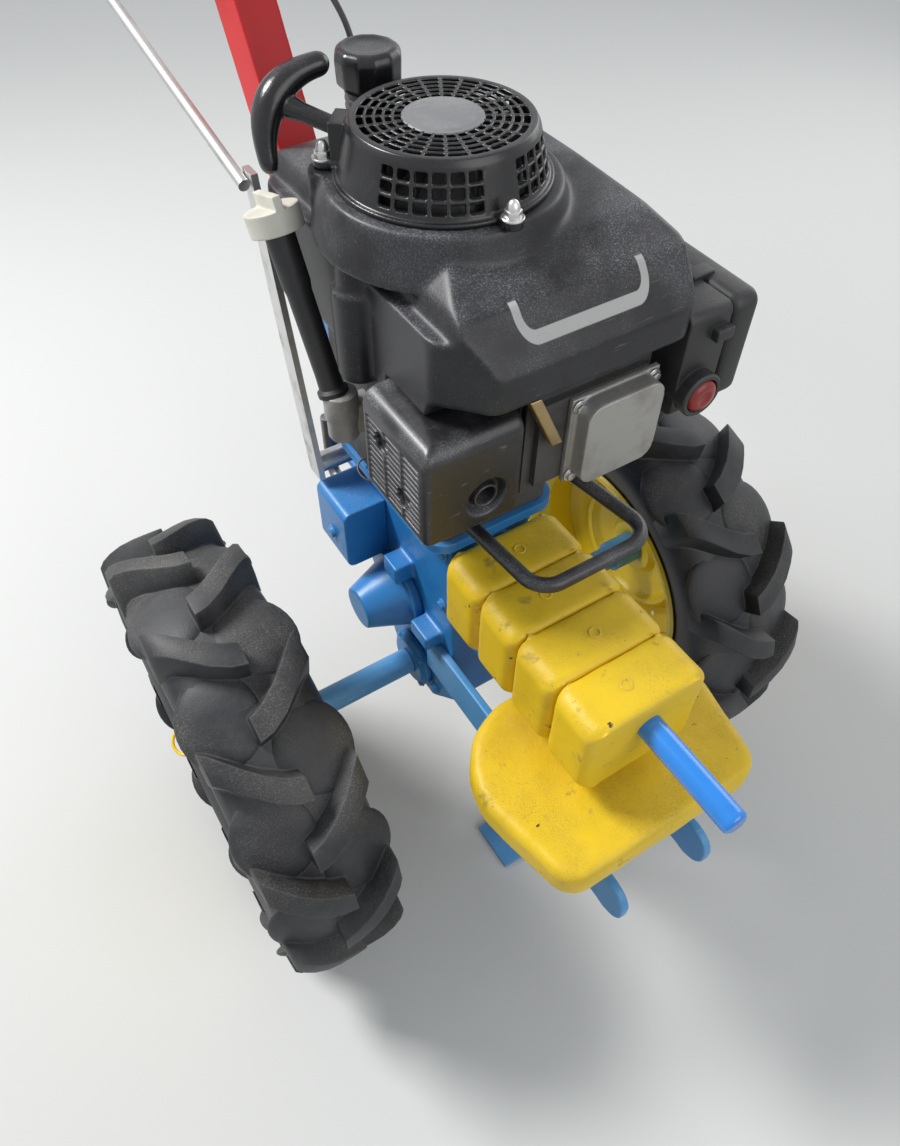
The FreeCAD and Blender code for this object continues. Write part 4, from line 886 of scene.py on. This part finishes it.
# %% [markdown]
# ## Fasteners
# Nuts and bolts are small, but they show how the machine goes together. A hexagon is a cylinder with
# six sides, bevelled like a real one, on a washer. The nuts on the fan cover have a dome. Each kind
# is made once, lying at the origin, and copied to its places.

# %% Bolt and cap nut
def hexagon(name, radius, height, rounding):
    head = new_piece(name, bpy.ops.mesh.primitive_cylinder_add, vertices=6, radius=radius * MM,
                     depth=height * MM, location=(0, 0, height * MM / 2))
    edit(head)
    select_mesh()
    bpy.ops.mesh.bevel(offset=rounding * MM, segments=2, affect="EDGES")
    return settle(head)


def washer(name, radius, height):
    ring = [(0, 0), (radius, 0), (radius, height * 0.7), (radius - height * 0.3, height), (0, height)]
    return spun(name, ring, ORIGIN, ALONG_Z, 32)


def dome(name, radius, low, high, steps=6):
    turns = [i * math.pi / 2 / steps for i in range(1, steps)]
    arc = [(radius * math.cos(turn), low + (high - low) * math.sin(turn)) for turn in turns]
    return spun(name, [(radius, low)] + arc + [(0, high)], ORIGIN, ALONG_Z, 32)


def facing(point, direction, scale=1.0):
    turn = Vector(direction).to_track_quat("Z", "Y").to_matrix().to_4x4()
    return Matrix.Translation(point) @ turn @ Matrix.Scale(scale, 4)


bolt = join([washer("bolt", 8.4, 1.5), hexagon("head", 6.2, 5.5, 0.5)])
cap_nut = join([washer("cap_nut", 9.5, 1.6), hexagon("hex", 7.4, 7, 0.6), dome("dome", 5.6, 6.5, 15)])
print("bolt", len(bolt.data.polygons), "faces, cap nut", len(cap_nut.data.polygons), "faces")

# %% Where they go
CRANK = Vector((0, -0.318, 0))
NUT_CIRCLE, NUT_SEAT, NUT_ANGLES = 100 * MM, 932.8 * MM, (-90, 38, 142)
BEARING_CIRCLE, BEARING_ANGLES = 35.5 * MM, (0.8, 2.35, 3.93, 5.5)
GEARBOX_PLACES = ((-404, 470), (-404, 560), (-235, 560), (-300, 268), (-385, 268))
cover_low, cover_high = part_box("valve_cover")
crank_top = CRANK + ALONG_Z * NUT_SEAT
FASTENERS = [
    # name, kind, finish, slot, size, places with their directions, solids
    ("cap_nuts", cap_nut, zinc, "bare_steel", 1.0, [
        (crank_top + Vector((math.cos(math.radians(a)), math.sin(math.radians(a)), 0)) * NUT_CIRCLE, ALONG_Z)
        for a in NUT_ANGLES], ["fan_nuts"]),
    ("cover_bolts", bolt, zinc, "bare_steel", 0.85, [
        (Vector((x, cover_high.y - 7 * MM, z)), -ALONG_Y)
        for x in (cover_low.x + 7 * MM, cover_high.x - 7 * MM)
        for z in (cover_high.z - 9 * MM, cover_low.z + 9 * MM)], []),
    ("gearbox_bolts", bolt, cast_blue, "blue_casting", 1.0, [
        (Vector((side * 52.5 * MM, y * MM, z * MM)), side * ALONG_X)
        for side, _ in SIDES for y, z in GEARBOX_PLACES], []),
    ("bearing_bolts", bolt, cast_blue, "blue_casting", 0.8, [
        (hub_point + side * 60 * MM * ALONG_X + Vector((0, math.sin(a), math.cos(a))) * BEARING_CIRCLE,
         side * ALONG_X) for side, _ in SIDES for a in BEARING_ANGLES], []),
]
for name, kind, material, slot, scale, places, solids in FASTENERS:
    copies = [turned_copy(kind, name, facing(point, direction, scale)) for point, direction in places]
    dressed(join(copies), material, "machine", slot, *solids, angle=35)
    print(name, len(places))
for pattern in (bolt, cap_nut):
    bpy.data.objects.remove(pattern)

# %% [markdown]
# ## Muffler guard
# Smoothing has rounded the guard like pressed sheet, but it also softened the louvres. They are
# sharp on the real guard, so they are cut again here: one slot is copied into rows and columns and
# taken out in one step. A black disc is painted shade: it stands for the dark inside of the outlet.

# %% Louvres and outlet of the muffler guard
LOUVRE_COLUMNS, LOUVRE_ROWS, LOUVRE_FOOT, LOUVRE_PITCH = 3, 12, 7.7, 6.8
guard = bpy.data.objects["muffler_guard_piece"]
guard_low, guard_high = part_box("muffler_guard")
slot_long = (guard_high.y - guard_low.y - 16 * MM) / LOUVRE_COLUMNS
slots = []
for column in range(LOUVRE_COLUMNS):
    for row in range(LOUVRE_ROWS):
        middle = (guard_low.x, guard_high.y - 6 * MM - slot_long * (column + 0.5),
                  guard_low.z + (LOUVRE_FOOT + LOUVRE_PITCH * row) * MM)
        slots.append(settle(new_piece("slot", bpy.ops.mesh.primitive_cube_add, size=1, location=middle,
                                      scale=(6 * MM, slot_long - 4 * MM, 3 * MM))))
cut(guard, join(slots))
smooth_by_angle(guard, 40)
# a black disc as painted shade in the opening of the outlet
outlet = new_piece("outlet_shadow", bpy.ops.mesh.primitive_cylinder_add, vertices=40, radius=9.6 * MM,
                   depth=2 * MM, location=(-0.054, guard_low.y + 17 * MM, 0.712),
                   rotation=(math.pi / 2, 0, 0))
dressed(settle(outlet), painted_outlet_shade, "machine", "black_metal")
print("louvres", len(guard.data.polygons), "faces")

# %% [markdown]
# ## Front weights
# The four weights are castings shaped like loaves, painted together so that the paint fills the
# gaps. Each starts as a box of the measured size. Its long edges get a wide bevel. At its two ends
# the upright edges are rounder than the level ones, which a bevel does by the weight of each edge.
# A weak displacement then makes the faces as uneven as a sand mould leaves them.

# %% Helpers: boxes with chosen edges rounded
def runs_along(axis):
    return lambda edge: abs((edge.verts[1].co - edge.verts[0].co).normalized().dot(axis)) > 0.99


def bounds_end(axis):
    return lambda edge: any(abs(face.normal.dot(axis)) > 0.99 for face in edge.link_faces)


def round_edges(piece, test, width, segments):
    """Bevel the edges that pass a test. Edge mode keeps other edges between them out of it."""
    bpy.ops.mesh.select_mode(type="EDGE")
    bpy.ops.mesh.select_all(action="DESELECT")
    mesh = bmesh.from_edit_mesh(piece.data)
    for edge in mesh.edges:
        edge.select = test(edge)
    bmesh.update_edit_mesh(piece.data)
    bpy.ops.mesh.bevel(offset=width * MM, segments=segments, affect="EDGES")
    bpy.ops.mesh.select_mode(type="VERT")


def measured_box(name, low, high):
    """A plain box between two corners, left in edit mode."""
    box = new_piece(name, bpy.ops.mesh.primitive_cube_add, size=1, location=(low + high) / 2,
                    scale=high - low)
    edit(settle(box))
    return box


def rounded_box(name, low, high, wide, narrow, axis):
    """A box whose edges along axis are rounded by wide, and the rest by narrow, in mm."""
    box = measured_box(name, Vector(low), Vector(high))
    round_edges(box, runs_along(axis), wide, 7)
    round_edges(box, bounds_end(axis), narrow, 4)
    return settle(box)


print("box helpers ready")

# %% Weights
LONG_EDGE, END_EDGE = 19, 16 * MM
UPRIGHT_SHARE, CORNER_SHARE, LEVEL_SHARE = 1.0, 0.7, 0.4
WEIGHT_SKIN = dict(smoothing=3, keep=0.5)


def loaf(name, low, high):
    box = measured_box(name, low, high)
    round_edges(box, runs_along(ALONG_Y), LONG_EDGE, 7)
    mesh = bmesh.from_edit_mesh(box.data)
    weight = mesh.edges.layers.float.new("bevel_weight_edge")
    at_end, upright, level = bounds_end(ALONG_Y), runs_along(ALONG_Z), runs_along(ALONG_X)
    for edge in mesh.edges:
        if at_end(edge):
            edge[weight] = UPRIGHT_SHARE if upright(edge) else LEVEL_SHARE if level(edge) else CORNER_SHARE
    bmesh.update_edit_mesh(box.data)
    settle(box)
    add_modifier(box, "BEVEL", width=END_EDGE, segments=5, limit_method="WEIGHT", use_clamp_overlap=False)
    apply_modifiers(box)
    return box


for number in range(1, 5):
    low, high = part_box(f"weight_block_{number}")
    block = loaf(f"weight_{number}", low, high)
    reskin(block, 2.0, lumpy=1.6, **WEIGHT_SKIN)
    # the plug of the casting hole on top, now left and now right of the middle
    aside = (number % 2) * 12 * MM - 8 * MM
    top = Vector(((low.x + high.x) / 2 + aside, (low.y + high.y) / 2, high.z - 0.3 * MM))
    plug = new_piece("plug", bpy.ops.mesh.primitive_torus_add, location=top, major_radius=5.5 * MM,
                     minor_radius=1.3 * MM, major_segments=28, minor_segments=8)
    block = join([block, settle(plug)])
    bpy.ops.object.shade_smooth()
    dressed(block, weight_yellow, "machine", "weight_yellow", f"weight_block_{number}")
    print(block.name, len(block.data.polygons), "faces")

# %% [markdown]
# The broad plate under the weights is one flat casting with a blunt nose. Its outline is drawn from
# corner to corner, filled and drawn up, and its corners and rims are bevelled in turn.

# %% Weight plate
PLATE = [(-122, -743), (122, -743), (150, -606), (98, -538), (-98, -538), (-150, -606)]
NOSE_FROM, NOSE_CORNER, SIDE_CORNER, PLATE_RIM = -0.7, 24, 38, 11
low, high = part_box("weight_plate")
plate = outline("weight_plate_piece", [(x * MM, y * MM, low.z) for x, y in PLATE])
select_mesh()
bpy.ops.mesh.edge_face_add()
bpy.ops.mesh.extrude_region_move(TRANSFORM_OT_translate={"value": (0, 0, high.z - low.z)})
for front, rounding in ((True, NOSE_CORNER), (False, SIDE_CORNER)):
    round_edges(plate, lambda edge: runs_along(ALONG_Z)(edge) and (edge.verts[0].co.y < NOSE_FROM) == front,
                rounding, 10)
round_edges(plate, bounds_end(ALONG_Z), PLATE_RIM, 5)
close_up(plate)
reskin(plate, 2.2, lumpy=2.0, **WEIGHT_SKIN)
dressed(plate, weight_yellow, "machine", "weight_yellow", "weight_plate")
print("plate", len(plate.data.polygons), "faces")

# %% [markdown]
# The weights are threaded on a round bar. A cylinder would do, but its front end is rounded, so its
# outline is spun instead.

# %% Bar
low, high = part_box("weight_bar")
bar_middle = Vector(((low.x + high.x) / 2, 0, (low.z + high.z) / 2))
front_end = low.y / MM
BAR = [(0, front_end + 0.5), (8.6, front_end), (11.5, front_end + 1.2), (13.2, front_end + 3.2),
       (13.5, front_end + 7), (13.5, -600), (13.2, high.y / MM)]
bar = spun("weight_bar_piece", BAR, bar_middle, ALONG_Y, 40, out=ALONG_Z)
dressed(bar, bar_blue, "machine", "bright_blue", "weight_bar", angle=45)
print("bar", round(high.y - low.y, 3), "m long")

# %% [markdown]
# ## Engine fittings
# The fuel cap is a moulded knob with twelve flats for the fingers, on a ribbed neck. Its outline is
# drawn once and drawn up in steps, each scaled a little, which rounds the shoulder and dips the
# top. A cylinder with its edges cut would give the flats, but not that soft shoulder.

# %% Fuel cap
FLATS, CAP_POINTS, CAP_RADIUS, FLAT_SHARE, CORNER_CUT = 12, 144, 30 * MM, 0.962, 0.985
CAP_LEVELS = [
    # height over the foot (mm), share of the radius
    (0, 0.93), (1.5, 0.97), (3, 0.98), (20, 1.0), (24, 0.985), (27, 0.94), (29, 0.87), (30, 0.78),
    (29.6, 0.66), (28.8, 0.6), (28.6, 0.3),
]
ROOT, RIB, RIBS, RIB_PITCH = 20.3, 22.6, 4, 6.5
low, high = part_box("fuel_cap")
cap_foot = high.z - 30 * MM
cap_middle = Vector(((low.x + high.x) / 2, (low.y + high.y) / 2, 0))


def cap_ring(height, share):
    ring = []
    for number in range(CAP_POINTS):
        turn = 2 * math.pi * number / CAP_POINTS
        off_flat = (turn + math.pi / FLATS) % (2 * math.pi / FLATS) - math.pi / FLATS
        radius = CAP_RADIUS
        if share > 0.7:
            radius = min(CAP_RADIUS * FLAT_SHARE / math.cos(off_flat), CAP_RADIUS * CORNER_CUT)
        ring.append(cap_middle + Vector((radius * share * math.cos(turn), radius * share * math.sin(turn),
                                         cap_foot + height * MM)))
    return ring


cap = drawn_out("fuel_cap_piece", [cap_ring(*level) for level in CAP_LEVELS])
neck_line = [(ROOT, low.z / MM)]
for rib in range(RIBS):
    base = low.z / MM + 2 + RIB_PITCH * rib
    neck_line += [(ROOT, base), (RIB, base + 1), (RIB, base + 3), (ROOT, base + 4)]
neck_line.append((ROOT, cap_foot / MM + 1))
neck = spun("fuel_neck", neck_line, cap_middle, ALONG_Z, 40)
dressed(cap, gloss_black, "machine", "black_plastic", "fuel_cap", angle=38)
dressed(neck, hood_plastic, "machine", "black_plastic", angle=38)
print("fuel cap", len(cap.data.polygons), "faces")

# %% [markdown]
# The starter's grip is drawn out in the same way, but its ring follows an arc and swells in the
# middle. The stem that holds the cord is spun, turned to its direction, and joined by a new skin,
# which melts the two together as in one moulding.

# %% Grip of the starter
GRIP_LOW, GRIP_MIDDLE = Vector((-0.119, -0.240, 0.922)), Vector((-0.103, -0.222, 0.972))
GRIP_HIGH, STEM_END = Vector((-0.050, -0.222, 0.990)), Vector((-0.062, -0.262, 0.954))
GRIP_STATIONS, GRIP_POINTS, ROUND_END = 40, 24, 0.07
across_grip = (GRIP_HIGH - GRIP_LOW).cross(GRIP_MIDDLE - GRIP_LOW).normalized()


def on_arc(share):
    """A point of the curve through the three points of the grip."""
    bend = 2 * GRIP_MIDDLE - (GRIP_LOW + GRIP_HIGH) / 2
    return (1 - share) ** 2 * GRIP_LOW + 2 * share * (1 - share) * bend + share ** 2 * GRIP_HIGH


def grip_radius(share):
    """Half the thickness in mm: thin at the low end, thick in the middle, round at both ends."""
    from_end = min(share, 1 - share)
    rounding = math.sqrt(max(1 - (1 - from_end / ROUND_END) ** 2, 0)) if from_end < ROUND_END else 1
    return 1 + rounding * (8.0 + 5.0 * math.sin(math.pi * share) ** 2 + 1.5 * share)


grip_rings = []
for number in range(GRIP_STATIONS + 1):
    # stations lie closer together near the two round ends
    share = 0.5 - 0.5 * math.cos(math.pi * number / GRIP_STATIONS)
    radius = grip_radius(share)
    heading = (on_arc(min(share + 0.01, 1)) - on_arc(max(share - 0.01, 0))).normalized()
    sideways = heading.cross(across_grip).normalized()
    turns = [2 * math.pi * n / GRIP_POINTS for n in range(GRIP_POINTS)]
    grip_rings.append([on_arc(share) + radius * MM * (
        1.15 * math.cos(t) * across_grip + 0.9 * math.sin(t) * sideways) for t in turns])
starter = drawn_out("pull_handle_piece", grip_rings)
stem_run = STEM_END - GRIP_MIDDLE
stem_long = stem_run.length / MM
STEM = [(0, -4), (12, -4), (10, 12), (7.5, 26), (7, stem_long), (0, stem_long)]
stem = spun("stem", STEM, ORIGIN, ALONG_Z, 28)
stem.data.transform(facing(GRIP_MIDDLE, stem_run))
starter = join([starter, stem])
reskin(starter, 1.0, 3, 0.5)
dressed(starter, gloss_black, "machine", "black_plastic", "pull_handle")
print("starter grip", len(starter.data.polygons), "faces")

# %% [markdown]
# Through the grille one sees the fan that cools the engine, and a pale disc covers its middle. Both
# turn about the crank, so each is spun, and the blade is one thin box copied round it.

# %% Centre disc and fan under the grille
BLADES = 18
grille_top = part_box("fan_cover")[1].z / MM
DISC = [(0, grille_top + 0.9), (26, grille_top + 0.8), (28.5, grille_top + 0.6), (29.5, grille_top + 0.2),
        (32.5, grille_top + 0.2), (33.5, grille_top - 0.6)]
FAN = [(0, 958), (30, 958), (40, 946), (72, 934), (74, 928)]
disc = spun("grille_disc", DISC, CRANK, ALONG_Z, 64)
dressed(disc, disc_plastic, "machine", "black_plastic", angle=30)
hub = spun("fan", FAN, CRANK, ALONG_Z, 48)
blade = rounded_box("blade", CRANK + Vector((0.034, -0.001, 0.934)), CRANK + Vector((0.070, 0.001, 0.960)),
                    0.8, 0.3, ALONG_Z)
blades = [turned_copy(blade, "blade", turned_about(CRANK, n / BLADES, "Z")) for n in range(BLADES)]
bpy.data.objects.remove(blade)
fan = dressed(join([hub] + blades), soft_black, "machine", "black_plastic", angle=30)
print("fan", len(fan.data.polygons), "faces")

# %% [markdown]
# ## Air filter and primer
# The filter sits in a box with a cover that is a little larger, so a seam runs round it. A box
# with two radii is enough for each half. The primer is a soft red bulb in a black collar, with a
# dimple where the thumb goes, and both are spun.

# %% Air filter and primer
low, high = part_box("air_filter_housing")
FILTER_BOXES = [
    # name, low corner, high corner, wide and narrow rounding (mm)
    ("air_filter_piece", (low.x + 0.2 * MM, -0.4905, low.z + 1.5 * MM),
     (0.198, high.y - 1.5 * MM, high.z - 1.5 * MM), 9, 2),
    ("filter_cover", (0.1995, -0.492, low.z), high, 14, 9),
    ("filter_clip", (0.186, -0.448, high.z - 3 * MM), (0.212, -0.432, high.z + 4 * MM), 2, 1.5),
    ("choke_lever", (0.176, -0.500, 0.800), (0.196, -0.488, 0.812), 2.5, 1.5),
]
COLLAR = [(17.4, 14), (17.4, 6), (18.4, 4), (21.6, 4), (23, 5.6), (23, 30)]
BULB = [(17, 12), (16.9, 7), (16, 3.5), (13.5, 1.4), (9, 0.2), (6.5, 0.6), (5.6, 1.6), (0, 1.8)]
bulb_low, bulb_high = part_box("primer_bulb")
bulb_at = Vector(((bulb_low.x + bulb_high.x) / 2, bulb_low.y, (bulb_low.z + bulb_high.z) / 2))
parts = [rounded_box(*box, ALONG_X) for box in FILTER_BOXES] + [spun("collar", COLLAR, bulb_at, ALONG_Y, 48)]
dressed(join(parts), soft_black, "machine", "black_plastic", "air_filter_housing", angle=35)
bulb = spun("primer_bulb_piece", BULB, bulb_at, ALONG_Y, 40)
dressed(bulb, red_rubber, "machine", "red_rubber", "primer_bulb", angle=50)
print("air filter of", len(parts), "parts and primer made")

# %% [markdown]
# ## Oil pipe
# The filler pipe leans from a cast boss on the crankcase up to its cap. It is spun upright at the
# origin and then turned, because an outline is easy to draw only along an axis. A loose wire ring
# hangs by the gearbox, and a thin torus is all it needs.

# %% Oil pipe, its boss and the wire ring
pipe_foot, pipe_mouth = Vector((-0.108, -0.294, 0.716)), Vector((-0.121, -0.240, 0.872))
pipe_run = pipe_mouth - pipe_foot
PIPE = [(12, -2), (12, 6), (15.5, 7), (15.5, 12), (12.5, 15), (12, 30), (12, 110), (13.5, 118),
        (13.8, pipe_run.length / MM)]
BOSS = [(0, 0), (15, 0), (16, 2), (16, 22), (17.5, 25), (17.5, 50), (16.5, 54), (13, 56), (0, 56)]
pipe = spun("oil_pipe", PIPE, ORIGIN, ALONG_Z, 36)
pipe.data.transform(facing(pipe_foot, pipe_run.normalized()))
dressed(pipe, soft_black, "machine", "black_plastic", "oil_filler_tube", angle=40)
boss = spun("oil_boss", BOSS, Vector((-0.104, -0.296, 0.672)), ALONG_Z, 36)
arm = rounded_box("boss_arm", (-0.100, -0.308, 0.674), (-0.073, -0.284, 0.711), 4, 2, ALONG_X)
dressed(join([boss, arm]), cast_aluminium, "machine", "engine_metal", angle=40)
wire = new_piece("wire_ring", bpy.ops.mesh.primitive_torus_add, location=(-0.074, -0.292, 0.603),
                 major_radius=16 * MM, minor_radius=1.1 * MM, major_segments=48, minor_segments=10,
                 rotation=(0.25, 0.2, 0))
settle(wire)
bpy.ops.object.shade_smooth()
dressed(wire, dark_steel, "machine", "bare_steel")
print("oil pipe", round(pipe_run.length, 3), "m")

# %% [markdown]
# ## Grips and wheel pins
# A grip is a rubber sleeve with finger rings and a closed end, so an outline spun round the tube
# is all it needs. The wheels are held by a pin with a spring ring, painted along with the rim.

# %% Grips and pins
FINGER_RINGS, RING_PITCH = 12, 8.6
PIN = [(0, -26), (4, -25), (4.5, -23), (4.5, 22), (8, 23), (8, 28), (0, 29)]
PIN_OUT, LOOP_OUT = 0.3485, 0.364
for side, hand in SIDES:
    low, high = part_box(f"grip_{hand}")
    middle = (low + high) / 2
    start, end = low.y / MM, high.y / MM
    line = [(14.3, start + 0.2), (18, start), (18, start + 4)]
    for number in range(FINGER_RINGS):
        ring = start + 8 + RING_PITCH * number
        line += [(16.4, ring), (17.4, ring + 1.6), (17.4, ring + 4.6), (16.4, ring + 6.2)]
    line += [(17, end - 10), (18, end - 8), (18, end - 4), (16.5, end - 1.2), (13, end), (0, end)]
    grip = spun(f"grip_{hand}_piece", line, Vector((middle.x, 0, middle.z)), ALONG_Y, 36)
    dressed(grip, grip_rubber, "handlebars", "grip_rubber", f"grip_{hand}", angle=50)

for side, hand in SIDES:
    pin = spun(f"wheel_pin_{hand}", PIN, ORIGIN, ALONG_Z, 24)
    pin.data.transform(facing(Vector((side * PIN_OUT, AXLE_Y, AXLE_Z)), ALONG_Y))
    loop = new_piece("loop", bpy.ops.mesh.primitive_torus_add, major_radius=17 * MM, minor_radius=2.1 * MM,
                     location=(side * LOOP_OUT, AXLE_Y + 40 * MM, AXLE_Z + 4 * MM), major_segments=40,
                     minor_segments=10, rotation=(0.35, side * 0.5, 0))
    dressed(join([pin, settle(loop)]), rim_yellow, f"wheel_{hand}", "rim_yellow", angle=40)
print("grips and pins made")
